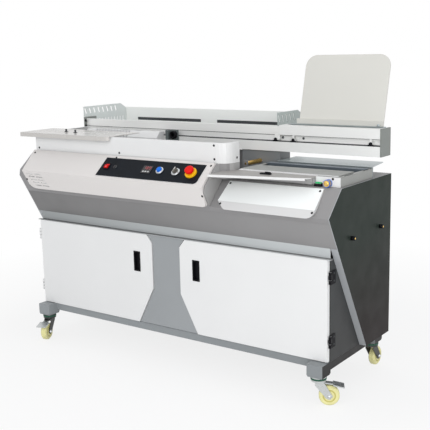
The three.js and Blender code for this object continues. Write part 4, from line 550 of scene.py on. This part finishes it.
def piece(name, vertices, faces, finish, body, slot, smooth=False, bevel=0.0):
    """A piece of the scene with its material, on the body that it moves with."""
    mesh = bpy.data.meshes.new(name)
    mesh.from_pydata([tuple(v) for v in vertices], [], faces)
    mesh.validate()
    mesh.materials.append(materials[finish])
    thing = bpy.data.objects.new(name, mesh)
    bpy.context.scene.collection.objects.link(thing)
    for polygon in mesh.polygons:
        polygon.use_smooth = smooth and len(polygon.vertices) < 5
    if bevel > 0:
        rounded = thing.modifiers.new("bevel", "BEVEL")
        rounded.width = bevel
        rounded.segments = 2
        rounded.limit_method = "ANGLE"
    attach(thing, body)


def basis(normal):
    """Two directions across a normal, and the normal."""
    normal = Vector(normal).normalized()
    side = Vector((0, 0, 1))
    if abs(side.dot(normal)) > 0.95:
        side = Vector((1, 0, 0))
    first = (side - normal * side.dot(normal)).normalized()
    return first, normal.cross(first), normal


def turned(profile, place, normal, sides=20, closed=False):
    """Vertices and faces of a profile of (radius, height) turned about a normal at a place."""
    first, second, up = basis(normal)
    vertices = []
    for radius, height in profile:
        for i in range(sides):
            angle = 2 * math.pi * i / sides
            across = (first * math.cos(angle) + second * math.sin(angle)) * radius
            vertices.append(Vector(place) + across + up * height)
    faces = []
    rings = len(profile)
    for ring in range(rings if closed else rings - 1):
        following = (ring + 1) % rings
        for i in range(sides):
            j = (i + 1) % sides
            faces.append((ring * sides + i, ring * sides + j, following * sides + j,
                          following * sides + i))
    if not closed:
        faces.append(tuple(reversed(range(sides))))
        faces.append(tuple((rings - 1) * sides + i for i in range(sides)))
    return vertices, faces


def ring_form(place, normal, inner, outer, height, edge, start=0.0, sides=36):
    """A flat ring with softened edges, standing on a place."""
    profile = [(inner, start), (outer, start), (outer, start + height - edge),
               (outer - edge, start + height), (inner + edge, start + height),
               (inner, start + height - edge)]
    return turned(profile, place, normal, sides, closed=True)


def slab_form(low, high):
    """A box between two corners."""
    (x0, y0, z0), (x1, y1, z1) = low, high
    vertices = [Vector((x, y, z)) for z in (z0, z1) for x, y in ((x0, y0), (x1, y0), (x1, y1), (x0, y1))]
    return vertices, BOX_FACES


def merged(parts):
    """Several forms as one."""
    vertices, faces = [], []
    for some_vertices, some_faces in parts:
        start = len(vertices)
        vertices += some_vertices
        faces += [tuple(start + i for i in face) for face in some_faces]
    return vertices, faces


def screw_form(place, normal, radius, height=0.0018):
    """A domed screw head with a socket."""
    dome = [(radius * 1.25, 0.0), (radius * 1.25, height * 0.2), (radius, height * 0.25),
            (radius * 0.93, height * 0.7), (radius * 0.72, height), (radius * 0.5, height),
            (radius * 0.42, height * 0.35)]
    return turned(dome, place, normal, 18)


def screws(name, places, normal, finish="black", slot="plastic_black", radius=0.0036):
    """Screw heads on the machine's body, all with one normal."""
    forms = [screw_form(place, normal, radius) for place in places]
    piece(name, *merged(forms), finish, "machine", slot, smooth=True)


# Faces of the two front covers, as the depths and heights of their folds
COVER_FOOT = (-233.0, 690.7)
LEFT_FOLD = (-258.7, 769.7)
LEFT_SHOULDER = (-161.1, 850.2)
RIGHT_FOLD = (-211.0, 718.0)
RIGHT_SHOULDER = (-132.0, 785.0)
# Screws of the covers: a name, the face's lower and upper fold, and the (x, z) of each screw
COVER_SCREWS = (
    ("control_slope", LEFT_FOLD, LEFT_SHOULDER, ((231, 838.5), (-247, 842.0), (-722, 838))),
    ("control_lip", COVER_FOOT, LEFT_FOLD, ((240, 735), (-706, 731))),
    ("right_slope", RIGHT_FOLD, RIGHT_SHOULDER, ((297, 774), (676, 774))),
    ("right_lip", COVER_FOOT, RIGHT_FOLD, ((300, 709), (684, 710))),
)
# Screws of the white wall round the well: the depth of its front and the (x, z) of each screw
SPLASH_FRONT = -150
SPLASH_SCREWS = ((-722, 857), (-250, 858.5), (228, 912), (229, 860))
SPLASH_END_SCREW = (288.3, -86, 863)
NIP_BOX_SCREW = (708, -112, 814)


def on_face(low, high, x, z):
    """A place on a sloping face between two (y, z) points."""
    share = (z - low[1]) / (high[1] - low[1])
    return at(x, low[0] + (high[0] - low[0]) * share, z)


def face_normal(low, high):
    """The outward normal of a sloping face between two (y, z) points."""
    rise = Vector((0.0, high[0] - low[0], high[1] - low[1])).normalized()
    return Vector((0.0, -rise.z, rise.y))


def make_cover_screws():
    for name, low, high, places in COVER_SCREWS:
        screws("screws_" + name, [on_face(low, high, x, z) for x, z in places], face_normal(low, high))
    screws("screws_splash_front", [at(x, SPLASH_FRONT, z) for x, z in SPLASH_SCREWS], (0, -1, 0))
    screws("screw_splash_end", [at(*SPLASH_END_SCREW)], (1, 0, 0))
    screws("screw_nip_box", [at(*NIP_BOX_SCREW)], (0, -1, 0))


# The control plate lies on the slope of the control cover; places on it are a distance along it,
# a rise up its slope and a height over its back, in millimetres
PANEL_ORIGIN = (-261.99, 767.41)
PANEL_UP = (0.7717, 0.6360)
PANEL_NORMAL = Vector((0.0, -PANEL_UP[1], PANEL_UP[0]))
CONTROL_RISE = 64.0
START_X = 15.0
SELECTOR_X = 93.0
STOP_X = 167.0
DISPLAY_X = -50.0
LAMP_X = -216.0
SWITCH_X = -259.0
# Heights of the faces of the controls
START_FACE = 13.9
SELECTOR_FACE = 20.9
STOP_FACE = 20.3
LAMP_FACE = 6.6
# The bright rings round the controls, in metres
BEZEL_HEIGHT = 0.0098
BEZEL_FOOT_HEIGHT = 0.0042
BEZEL_FOOT_START = 0.003
STOP_COLLAR_INNER = 0.0102
STOP_COLLAR_START = 0.0093


def on_panel(x, rise, height):
    """A place on the control plate."""
    up_y, up_z = PANEL_UP
    return at(x, PANEL_ORIGIN[0] + rise * up_y - height * up_z,
              PANEL_ORIGIN[1] + rise * up_z + height * up_y)


def panel_strip(x0, x1, rise0, rise1, bottom, top):
    """A flat bar on the control plate."""
    corners = [(x0, rise0), (x1, rise0), (x1, rise1), (x0, rise1)]
    vertices = [on_panel(x, rise, height) for height in (bottom, top) for x, rise in corners]
    return vertices, BOX_FACES


def panel_turned(profile, x, height, sides):
    """A round form on the control plate, in the row of the controls."""
    return turned(profile, on_panel(x, CONTROL_RISE, height), PANEL_NORMAL, sides)


def panel_ring(x, inner, outer, height, edge, start=0.0):
    """A ring on the control plate, in the row of the controls."""
    return ring_form(on_panel(x, CONTROL_RISE, 0), PANEL_NORMAL, inner, outer, height, edge, start)


def make_control_bezel(name, x, inner, outer, foot):
    """A bright ring round a control, with a wider and lower one at its foot."""
    rings = merged([
        panel_ring(x, inner, outer, BEZEL_HEIGHT, 0.0008),
        panel_ring(x, inner, foot, BEZEL_FOOT_HEIGHT, 0.0006, BEZEL_FOOT_START)])
    piece(name, *rings, "bright", "machine", "steel", smooth=True)


def make_start_button_details():
    make_control_bezel("start_button_bezel", START_X, 0.0111, 0.0152, 0.0165)
    cap = [(0.0104, 0.0), (0.0104, 0.0012), (0.0095, 0.0019), (0.0055, 0.0023), (0.0012, 0.0024)]
    piece("start_button_cap", *panel_turned(cap, START_X, START_FACE, 32), "blue", "start_button",
          "plastic_blue", smooth=True)


# The selector's white pointer and the two grooves beside its grip
POINTER_HALF = 1.1
POINTER_RISE = (1.5, 11.2)
POINTER_THICKNESS = 0.45
GROOVE_OFFSET = 5.76
GROOVE_HALF = 0.7
GROOVE_REACH = 10
GROOVE_HEIGHTS = (9.2, 9.75)


def make_selector_details():
    make_control_bezel("selector_bezel", SELECTOR_X, 0.0122, 0.0163, 0.0178)
    pointer = panel_strip(SELECTOR_X - POINTER_HALF, SELECTOR_X + POINTER_HALF,
                          CONTROL_RISE + POINTER_RISE[0], CONTROL_RISE + POINTER_RISE[1],
                          SELECTOR_FACE, SELECTOR_FACE + POINTER_THICKNESS)
    piece("selector_pointer", *pointer, "white_print", "selector_switch", "cover_white")
    sides = []
    for end in ENDS:
        x = SELECTOR_X + end * GROOVE_OFFSET
        sides.append(panel_strip(x - GROOVE_HALF, x + GROOVE_HALF, CONTROL_RISE - GROOVE_REACH,
                                 CONTROL_RISE + GROOVE_REACH, *GROOVE_HEIGHTS))
    piece("selector_grooves", *merged(sides), "dark_steel", "selector_switch", "dark_steel")


def make_stop_button_details():
    collar = merged([
        panel_ring(STOP_X, STOP_COLLAR_INNER, 0.0238, 0.0012, 0.0005, STOP_COLLAR_START),
        panel_ring(STOP_X, STOP_COLLAR_INNER, 0.0150, 0.0020, 0.0006, STOP_COLLAR_START)])
    piece("emergency_stop_collar", *collar, "yellow", "machine", "plastic_yellow", smooth=True)
    dome = [(0.0176, 0.0), (0.0181, 0.0016), (0.0181, 0.0054), (0.0172, 0.0080), (0.0148, 0.0100),
            (0.0120, 0.0109), (0.0112, 0.0104), (0.0064, 0.0108), (0.0012, 0.0110)]
    piece("emergency_stop_dome", *panel_turned(dome, STOP_X, STOP_FACE, 40), "red",
          "emergency_stop_button", "plastic_red", smooth=True)


def make_lamp_details():
    bezel = panel_ring(LAMP_X, 0.0050, 0.0082, 0.0062, 0.0008)
    piece("lamp_bezel", *bezel, "dark_steel", "machine", "dark_steel", smooth=True)
    lens = [(0.0052, 0.0), (0.0050, 0.0014), (0.0036, 0.0026), (0.0012, 0.0031)]
    piece("lamp_lens", *panel_turned(lens, LAMP_X, LAMP_FACE, 24), "display", "machine",
          "plastic_black", smooth=True)


# The display: a window with three digits made of bars, over three small keys
DISPLAY_FOOT = CONTROL_RISE - 20
DISPLAY_HALF = 23
DISPLAY_RISE = (1, 39)
WINDOW_HEIGHTS = (4.4, 5.0)
DIGIT_TEXT = "180"
DIGIT_START = 16
DIGIT_PITCH = 12.5
DIGIT_RISE = 22
DIGIT_WIDTH = 6.6
DIGIT_HEIGHT = 12.0
DIGIT_STROKE = 1.05
DIGIT_HEIGHTS = (4.9, 5.3)
KEY_START = 17
KEY_END = 8.5
KEY_RISE = (7, 12)
KEY_HEIGHTS = (4.9, 5.5)
SEGMENTS = {"top": (0, 2, 1, 2), "middle": (0, 1, 1, 1), "bottom": (0, 0, 1, 0),
            "upper_left": (0, 1, 0, 2), "upper_right": (1, 1, 1, 2),
            "lower_left": (0, 0, 0, 1), "lower_right": (1, 0, 1, 1)}
DIGITS = {"1": ("upper_right", "lower_right"),
          "8": tuple(SEGMENTS),
          "0": ("top", "bottom", "upper_left", "upper_right", "lower_left", "lower_right")}


def digit_forms(digit, x, rise):
    """The bars of a digit whose lower left corner is at a place on the display."""
    forms = []
    for segment in DIGITS[digit]:
        u0, v0, u1, v1 = SEGMENTS[segment]
        x0 = x + u0 * DIGIT_WIDTH
        x1 = x + u1 * DIGIT_WIDTH
        rise0 = rise + v0 * DIGIT_HEIGHT / 2
        rise1 = rise + v1 * DIGIT_HEIGHT / 2
        forms.append(panel_strip(x0 - DIGIT_STROKE, x1 + DIGIT_STROKE, rise0 - DIGIT_STROKE,
                                 rise1 + DIGIT_STROKE, *DIGIT_HEIGHTS))
    return forms


def make_display_details():
    window = panel_strip(DISPLAY_X - DISPLAY_HALF, DISPLAY_X + DISPLAY_HALF,
                         DISPLAY_FOOT + DISPLAY_RISE[0], DISPLAY_FOOT + DISPLAY_RISE[1], *WINDOW_HEIGHTS)
    piece("display_window", *window, "display", "machine", "plastic_black", bevel=0.0004)
    digits, keys = [], []
    for i, digit in enumerate(DIGIT_TEXT):
        digits += digit_forms(digit, DISPLAY_X - DIGIT_START + i * DIGIT_PITCH, DISPLAY_FOOT + DIGIT_RISE)
        keys.append(panel_strip(DISPLAY_X - KEY_START + i * DIGIT_PITCH,
                                DISPLAY_X - KEY_END + i * DIGIT_PITCH, DISPLAY_FOOT + KEY_RISE[0],
                                DISPLAY_FOOT + KEY_RISE[1], *KEY_HEIGHTS))
    piece("display_digits", *merged(digits), "dark_red", "machine", "plastic_red")
    piece("display_keys", *merged(keys), "white_print", "machine", "cover_white", bevel=0.0006)


# A thin white line along the foot of the control plate and up its right end, and the switch's mark
BEAD_HEIGHTS = (0.05, 0.9)
BEAD_FOOT = (-292, 194, 14.2, 15.8)
BEAD_END = (212.2, 214.2, 34, 111.5)
MARK_HALF = 0.9
MARK_DROP = (8.5, 3.5)
MARK_HEIGHTS = (9.4, 10.6)


def make_plate_details():
    bead = merged([panel_strip(*BEAD_FOOT, *BEAD_HEIGHTS), panel_strip(*BEAD_END, *BEAD_HEIGHTS)])
    piece("panel_bead", *bead, "white", "machine", "cover_white", bevel=0.0003)
    mark = panel_strip(SWITCH_X - MARK_HALF, SWITCH_X + MARK_HALF, CONTROL_RISE - MARK_DROP[0],
                       CONTROL_RISE - MARK_DROP[1], *MARK_HEIGHTS)
    piece("switch_mark", *mark, "white_print", "power_switch", "cover_white")


# Door hinges: sleeves with end caps on the knuckles, and black leaves with their screws
HINGE_X = 728.0
HINGE_Y = -166.97
HINGE_HEIGHTS = (238.0, 473.0)
HINGE_END = 22.3
KNUCKLE = 44.0 / 3
SLEEVE_GAP = 0.5
SLEEVE_INNER = 0.0046
SLEEVE_OUTER = 0.0057
LEAF_X = (724.1, 725.9)
LEAF_Y = (-153.2, -121.0)
LEAF_Z = (-28, 22)
LEAF_SCREW = (725.8, -133)
LEAF_SCREW_RISES = (-17, 11)


def sleeve(side, height, step):
    """The sleeve of a knuckle, a number of knuckles above or below the middle one."""
    foot = at(side * HINGE_X, HINGE_Y, height + step * KNUCKLE - KNUCKLE / 2 + SLEEVE_GAP)
    return ring_form(foot, (0, 0, 1), SLEEVE_INNER, SLEEVE_OUTER, (KNUCKLE - 2 * SLEEVE_GAP) / 1000,
                     0.0006, sides=24)


def make_hinge(name, door, side, height, finish, slot):
    end_cap = [(SLEEVE_INNER, 0.0), (0.0042, 0.0011), (0.0016, 0.0016)]
    moving = [sleeve(side, height, end) for end in ENDS]
    moving += [turned(end_cap, at(side * HINGE_X, HINGE_Y, height + end * HINGE_END), (0, 0, end))
               for end in ENDS]
    piece(name + "_knuckles", *merged(moving), finish, door, slot, smooth=True)
    piece(name + "_barrel", *sleeve(side, height, 0), finish, "machine", slot, smooth=True)
    x0, x1 = sorted(side * x for x in LEAF_X)
    leaf = slab_form(at(x0, LEAF_Y[0], height + LEAF_Z[0]), at(x1, LEAF_Y[1], height + LEAF_Z[1]))
    piece(name + "_leaf", *leaf, "black", "machine", "plastic_black", bevel=0.0006)
    places = [at(side * LEAF_SCREW[0], LEAF_SCREW[1], height + rise) for rise in LEAF_SCREW_RISES]
    screws(name + "_screws", places, (side, 0, 0), "dark_steel", "dark_steel", 0.0028)


def make_hinges():
    for side, door, finish, slot in ((-1, "left_door", "white", "cover_white"),
                                     (1, "right_door", "black", "plastic_black")):
        for number, height in enumerate(HINGE_HEIGHTS, 1):
            make_hinge("%s_hinge_%d" % (door, number), door, side, height, finish, slot)


# Beam: screws as (x, z) on its face and in its groove, and the (y, z) of dark strips along its grooves,
# painted shadow at the groove's foot and under its upper bar
BEAM_FACE = 190
GROOVE_FACE = 206
BEAM_SCREWS = ((-763, 946), (-763, 922))
GROOVE_SCREWS = ((314, 911), (409, 911))
GROOVE_SHADOW_ENDS = (-768.0, 742.0)
GROOVE_SHADOW_LINES = (((190.5, 895.02), (205.6, 895.2)),
                ((205.7, 895.3), (205.95, 898.4)),
                ((205.7, 919.6), (205.95, 921.8)))


def make_beam_details():
    screws("beam_left_bolts", [at(x, BEAM_FACE, z) for x, z in BEAM_SCREWS], (0, -1, 0), radius=0.0052)
    screws("groove_bolts", [at(x, GROOVE_FACE, z) for x, z in GROOVE_SCREWS], (0, -1, 0), "dark_steel",
           "dark_steel", 0.0042)
    # Dark strips along the groove: painted shadow
    left, right = GROOVE_SHADOW_ENDS
    lines = merged([slab_form(at(left, *low), at(right, *high)) for low, high in GROOVE_SHADOW_LINES])
    piece("groove_shadow_lines", *lines, "dark_steel", "machine", "dark_steel")


# Carriage: black caps and shoes on the glides, and the knob at the end of the rest's bar
GLIDE_X = (288.7, 370.7, 705.7)
GLIDE_CAP = (189.95, 903.3)
SHOE_HALF = 12.5
SHOE_LOW = (188.6, 895.5)
SHOE_HIGH = (189.9, 901)
REST_KNOB = (707, 258.4, 968)


def make_carriage_details():
    glides = []
    cap = [(0.0078, 0.0), (0.0078, 0.0008), (0.0066, 0.0014), (0.0020, 0.0016)]
    for x in GLIDE_X:
        glides.append(turned(cap, at(x, *GLIDE_CAP), (0, -1, 0), 24))
        glides.append(slab_form(at(x - SHOE_HALF, *SHOE_LOW), at(x + SHOE_HALF, *SHOE_HIGH)))
    piece("glide_caps", *merged(glides), "black", "clamp_carriage", "plastic_black")
    knob = [(0.0024, 0.0), (0.0024, 0.004), (0.0052, 0.0048), (0.0056, 0.0066), (0.0050, 0.0080),
            (0.0020, 0.0086)]
    piece("rest_bar_knob", *turned(knob, at(*REST_KNOB), (0, -1, 0)), "steel", "clamp_carriage", "steel",
          smooth=True)


# Rear guard: dark inlays that close its two long slots, with ribs in front
GUARD_SLOTS = ((-698.8, -308.2), (-214.8, 162.8))
INLAY_LOW = (490.9, 928.2)
INLAY_HIGH = (491.7, 941.8)
RIB_LOW = (490.5, 928.4)
RIB_HIGH = (490.9, 941.6)
RIB_GAPS = 12
RIB_INSET = 4
RIB_HALF = 1


def make_guard_strips():
    for number, (x0, x1) in enumerate(GUARD_SLOTS, 1):
        forms = [slab_form(at(x0, *INLAY_LOW), at(x1, *INLAY_HIGH))]
        for i in range(RIB_GAPS + 1):
            x = x0 + RIB_INSET + (x1 - x0 - 2 * RIB_INSET) * i / RIB_GAPS
            forms.append(slab_form(at(x - RIB_HALF, *RIB_LOW), at(x + RIB_HALF, *RIB_HIGH)))
        piece("guard_strip_%d" % number, *merged(forms), "dark_steel", "machine", "dark_steel")


# Turn knobs on the right side panel: caps, sleeves and small brass centres, which are a painted glint on
# the dark knobs
SIDE_KNOB_Y = (-50, 184)
SIDE_KNOB_Z = 596
SIDE_KNOB_FOOT_X = 750.3
SIDE_KNOB_CAP_X = 760.6
SIDE_KNOB_FACE_X = 764.8
SIDE_KNOB_RADIUS = 0.0079


def make_side_knobs():
    head = [(0.0070, 0.0), (SIDE_KNOB_RADIUS, 0.0006), (SIDE_KNOB_RADIUS, 0.0030), (0.0070, 0.0040),
            (0.0030, 0.0043)]
    heads = [turned(head, at(SIDE_KNOB_CAP_X, y, SIDE_KNOB_Z), (1, 0, 0), 24) for y in SIDE_KNOB_Y]
    heads += [ring_form(at(SIDE_KNOB_FOOT_X, y, SIDE_KNOB_Z), (1, 0, 0), 0.0072, SIDE_KNOB_RADIUS,
                        0.0104, 0.0002, sides=24) for y in SIDE_KNOB_Y]
    piece("side_knobs", *merged(heads), "black", "machine", "plastic_black", smooth=True)
    # Small brass centres: a painted glint on the knobs
    centre = [(0.0036, 0.0), (0.0036, 0.0008), (0.0026, 0.0014), (0.0009, 0.0016)]
    centres = [turned(centre, at(SIDE_KNOB_FACE_X, y, SIDE_KNOB_Z), (1, 0, 0)) for y in SIDE_KNOB_Y]
    piece("side_knob_glint_centres", *merged(centres), "brass", "machine", "brass", smooth=True)


# Thickness knob: two blue rings, at shares of its length, and a brass cap on its front
KNOB_RING_SHARES = (0.06, 0.82)
KNOB_RING_WIDTH = 0.0026
KNOB_RING_PROUD = 0.0006


def make_thickness_knob_details():
    low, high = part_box("thickness_knob")
    middle_x = (low[0] + high[0]) / 2
    middle_z = (low[2] + high[2]) / 2
    radius = (high[2] - low[2]) / 2
    front = low[1]
    rings = [ring_form((middle_x, front + share * (high[1] - low[1]), middle_z), (0, 1, 0),
                       radius * 0.7, radius + KNOB_RING_PROUD, KNOB_RING_WIDTH, 0.0006)
             for share in KNOB_RING_SHARES]
    piece("thickness_knob_rings", *merged(rings), "blue", "thickness_knob", "plastic_blue", smooth=True)
    cap = [(radius * 0.62, 0.0), (radius * 0.6, 0.0010), (radius * 0.35, 0.0016), (0.0018, 0.0018)]
    piece("thickness_knob_cap", *turned(cap, (middle_x, front + 0.0002, middle_z), (0, -1, 0), 24),
          "brass", "thickness_knob", "brass", smooth=True)


# Tray: two spring clips on its top, each a foot and a blade
CLIPS = ((-615, -85), (-549, -96))
CLIP_FOOT = (7, 6)
CLIP_FOOT_Z = (924.2, 926.4)
CLIP_BLADE = (5, 1.5)
CLIP_BLADE_Z = (926.0, 937)


def upright_slab(x, y, half_x, half_y, z0, z1):
    """A box about a place, from one height to another."""
    return slab_form(at(x - half_x, y - half_y, z0), at(x + half_x, y + half_y, z1))


def make_tray_clips():
    forms = []
    for x, y in CLIPS:
        forms.append(upright_slab(x, y, *CLIP_FOOT, *CLIP_FOOT_Z))
        forms.append(upright_slab(x, y, *CLIP_BLADE, *CLIP_BLADE_Z))
    piece("tray_clips", *merged(forms), "dark_steel", "machine", "dark_steel", bevel=0.0008)


# A thin white sheet with folded edges behind the louvres of the control cover, as painted light seen
# through them: its ends, and its outline as distances up the cover's lip and behind the lip's face
VENT_LIGHT_SHEET_ENDS = (-706, -574)
VENT_LIGHT_SHEET = ((16.0, 2.7), (80.0, 2.7), (80.0, 4.2), (79.5, 4.2), (79.5, 3.1), (16.5, 3.1), (16.5, 4.2),
              (16.0, 4.2))


def make_vent_light_sheet():
    rise = Vector((0.0, LEFT_FOLD[0] - COVER_FOOT[0], LEFT_FOLD[1] - COVER_FOOT[1])).normalized()
    inward = -face_normal(COVER_FOOT, LEFT_FOLD)
    foot = Vector((0.0, COVER_FOOT[0], COVER_FOOT[1]))
    vertices = []
    for x in VENT_LIGHT_SHEET_ENDS:
        for along, depth in VENT_LIGHT_SHEET:
            place = foot + rise * along + inward * depth
            vertices.append(at(x, place.y, place.z))
    count = len(VENT_LIGHT_SHEET)
    faces = [(i, (i + 1) % count, (i + 1) % count + count, i + count) for i in range(count)]
    faces += [tuple(reversed(range(count))), tuple(range(count, 2 * count))]
    # The white sheet stands in for light seen through the louvres: painted light
    piece("vent_light_sheet", vertices, faces, "white", "machine", "cover_white")


# A black shell round the nip button: a front plate and two cheeks
SHELL_FRONT = -125.7
SHELL_PLATE_BACK = -125.05
SHELL_CHEEK_BACK = -112.5
SHELL_Z = (785.6, 796)
SHELL_PLATE_X = (641.2, 668.8)
SHELL_CHEEKS_X = ((641.0, 641.8), (668.2, 669.0))


def shell_slab(x0, x1, back):
    """A wall of the shell from its front to a depth."""
    return slab_form(at(x0, SHELL_FRONT, SHELL_Z[0]), at(x1, back, SHELL_Z[1]))


def make_nip_shell():
    walls = [shell_slab(*SHELL_PLATE_X, SHELL_PLATE_BACK)]
    walls += [shell_slab(*cheek, SHELL_CHEEK_BACK) for cheek in SHELL_CHEEKS_X]
    piece("nip_button_shell", *merged(walls), "black", "machine", "plastic_black")


# A suction port on the beam, next to the dust hood: the walls of its bracket, and its ring
BRACKET_WALLS = (((-262, 184.2, 868), (-204, 186.2, 922)),
                 ((-262, 186.0, 868), (-204, 189.9, 893)),
                 ((-262, 166, 868), (-247, 184.4, 922)))
PORT = (-226, 184.3, 902)
PORT_INNER = 0.0100
PORT_OUTER = 0.0170
PORT_LENGTH = 0.0150


def make_suction_port():
    bracket = merged([slab_form(at(*low), at(*high)) for low, high in BRACKET_WALLS])
    piece("suction_bracket", *bracket, "suction", "machine", "dark_steel", bevel=0.0006)
    ring = ring_form(at(*PORT), (0, -1, 0), PORT_INNER, PORT_OUTER, PORT_LENGTH, 0.0012)
    disc = turned([(PORT_INNER, 0.0), (0.0098, 0.0006), (0.0020, 0.0008)], at(*PORT), (0, -1, 0), 24)
    piece("suction_ring", *merged([ring, disc]), "black", "machine", "plastic_black", smooth=True)


# At the doors: a seal strip over their tops, and a dark strip on the post's slanted corner, which is
# painted shadow of the gap beside the door
TOP_SEAL_HALF = 733
TOP_SEAL_LOW = (-171.4, 537.4)
TOP_SEAL_HIGH = (-158, 539.9)
CORNER_GAP_SHADOW = ((60.6, 505), (63.6, 505), (89.6, 537), (86.0, 537))
CORNER_GAP_SHADOW_Y = (-168.9, -168.05)


def make_door_seal_and_gap_shadow():
    strip = merged([slab_form(at(x0, *TOP_SEAL_LOW), at(x1, *TOP_SEAL_HIGH))
                    for x0, x1 in ((-TOP_SEAL_HALF, 0), (0, TOP_SEAL_HALF))])
    piece("door_top_seal", *strip, "fascia", "machine", "frame_grey")
    # A dark strip on the post's slanted corner: painted shadow of the door gap
    vertices = [at(x, y, z) for y in CORNER_GAP_SHADOW_Y for x, z in CORNER_GAP_SHADOW]
    piece("post_corner_gap_shadow", vertices, BOX_FACES, "black", "machine", "plastic_black", bevel=0.0002)


# Hot-melt glue standing in the tank, with a slow wavy skin
GLUE_LOW = (-256.5, 199.5)
GLUE_HIGH = (36.5, 270.5)
GLUE_LEVEL = 802.0
GLUE_COLUMNS = 40
GLUE_ROWS = 12


def glue_wave(x, y):
    """Two small waves that cross, in millimetres."""
    return 1.2 * math.sin(x * 0.11 + y * 0.07) + 0.7 * math.sin(x * 0.23 - y * 0.31)


def make_glue():
    vertices, faces = [], []
    for j in range(GLUE_ROWS + 1):
        for i in range(GLUE_COLUMNS + 1):
            x = GLUE_LOW[0] + (GLUE_HIGH[0] - GLUE_LOW[0]) * i / GLUE_COLUMNS
            y = GLUE_LOW[1] + (GLUE_HIGH[1] - GLUE_LOW[1]) * j / GLUE_ROWS
            vertices.append(at(x, y, GLUE_LEVEL + glue_wave(x, y)))
    for j in range(GLUE_ROWS):
        for i in range(GLUE_COLUMNS):
            a = j * (GLUE_COLUMNS + 1) + i
            faces.append((a, a + 1, a + GLUE_COLUMNS + 2, a + GLUE_COLUMNS + 1))
    piece("glue", vertices, faces, "glue", "machine", "brass", smooth=True)


# Casters, each turned by some degrees at rest: seal rings, hub covers and axle nuts, in metres
CASTERS = (("front_left", -70.0), ("front_right", 30.0), ("rear_left", 75.0), ("rear_right", 90.0))
TRAIL = 0.038
AXLE_HEIGHT = 0.0375
SEAL_FOOT = 0.0985
RIM_FACE = 0.0130
NUT_FACE = 0.0180
NUT = ((0.0072, 0.0), (0.0072, 0.0012), (0.0056, 0.0014), (0.0056, 0.0050), (0.0046, 0.0058),
       (0.0032, 0.0060), (0.0032, 0.0072), (0.0014, 0.0076))


def make_caster_details(name, degrees):
    angle = math.radians(degrees)
    lead = Vector((math.cos(angle), math.sin(angle), 0.0))
    axle = Vector((-math.sin(angle), math.cos(angle), 0.0))
    joint = next(joint for joint in frame["joints"] if joint["name"] == name + "_swivel")
    centre = Vector((joint["pos_m"][0], joint["pos_m"][1], 0.0))
    seal = ring_form(centre + Vector((0, 0, SEAL_FOOT)), (0, 0, 1), 0.0205, 0.0293, 0.0066, 0.0012,
                     sides=40)
    piece(name + "_seal", *seal, "seal", name + "_caster", "plastic_green", smooth=True)
    hub = centre + lead * TRAIL + Vector((0, 0, AXLE_HEIGHT))
    rims, nuts = [], []
    for end, sides in zip(ENDS, (6, 18)):
        outward = axle * end
        rims.append(ring_form(hub + outward * RIM_FACE, outward, 0.0190, 0.0240, 0.0007, 0.0003,
                              -0.0002, 40))
        nuts.append(turned(NUT, hub + outward * NUT_FACE, outward, sides))
    piece(name + "_wheel_rims", *merged(rims), "wheel_dark", name + "_wheel", "wheel_cream", smooth=True)
    piece(name + "_axle_nuts", *merged(nuts), "bright", name + "_caster", "zinc", smooth=True)


make_cover_screws()
make_start_button_details()
make_selector_details()
make_stop_button_details()
make_lamp_details()
make_display_details()
make_plate_details()
make_hinges()
make_beam_details()
make_carriage_details()
make_guard_strips()
make_side_knobs()
make_thickness_knob_details()
make_tray_clips()
make_vent_light_sheet()
make_nip_shell()
make_suction_port()
make_door_seal_and_gap_shadow()
make_glue()
for caster_name, caster_degrees in CASTERS:
    make_caster_details(caster_name, caster_degrees)
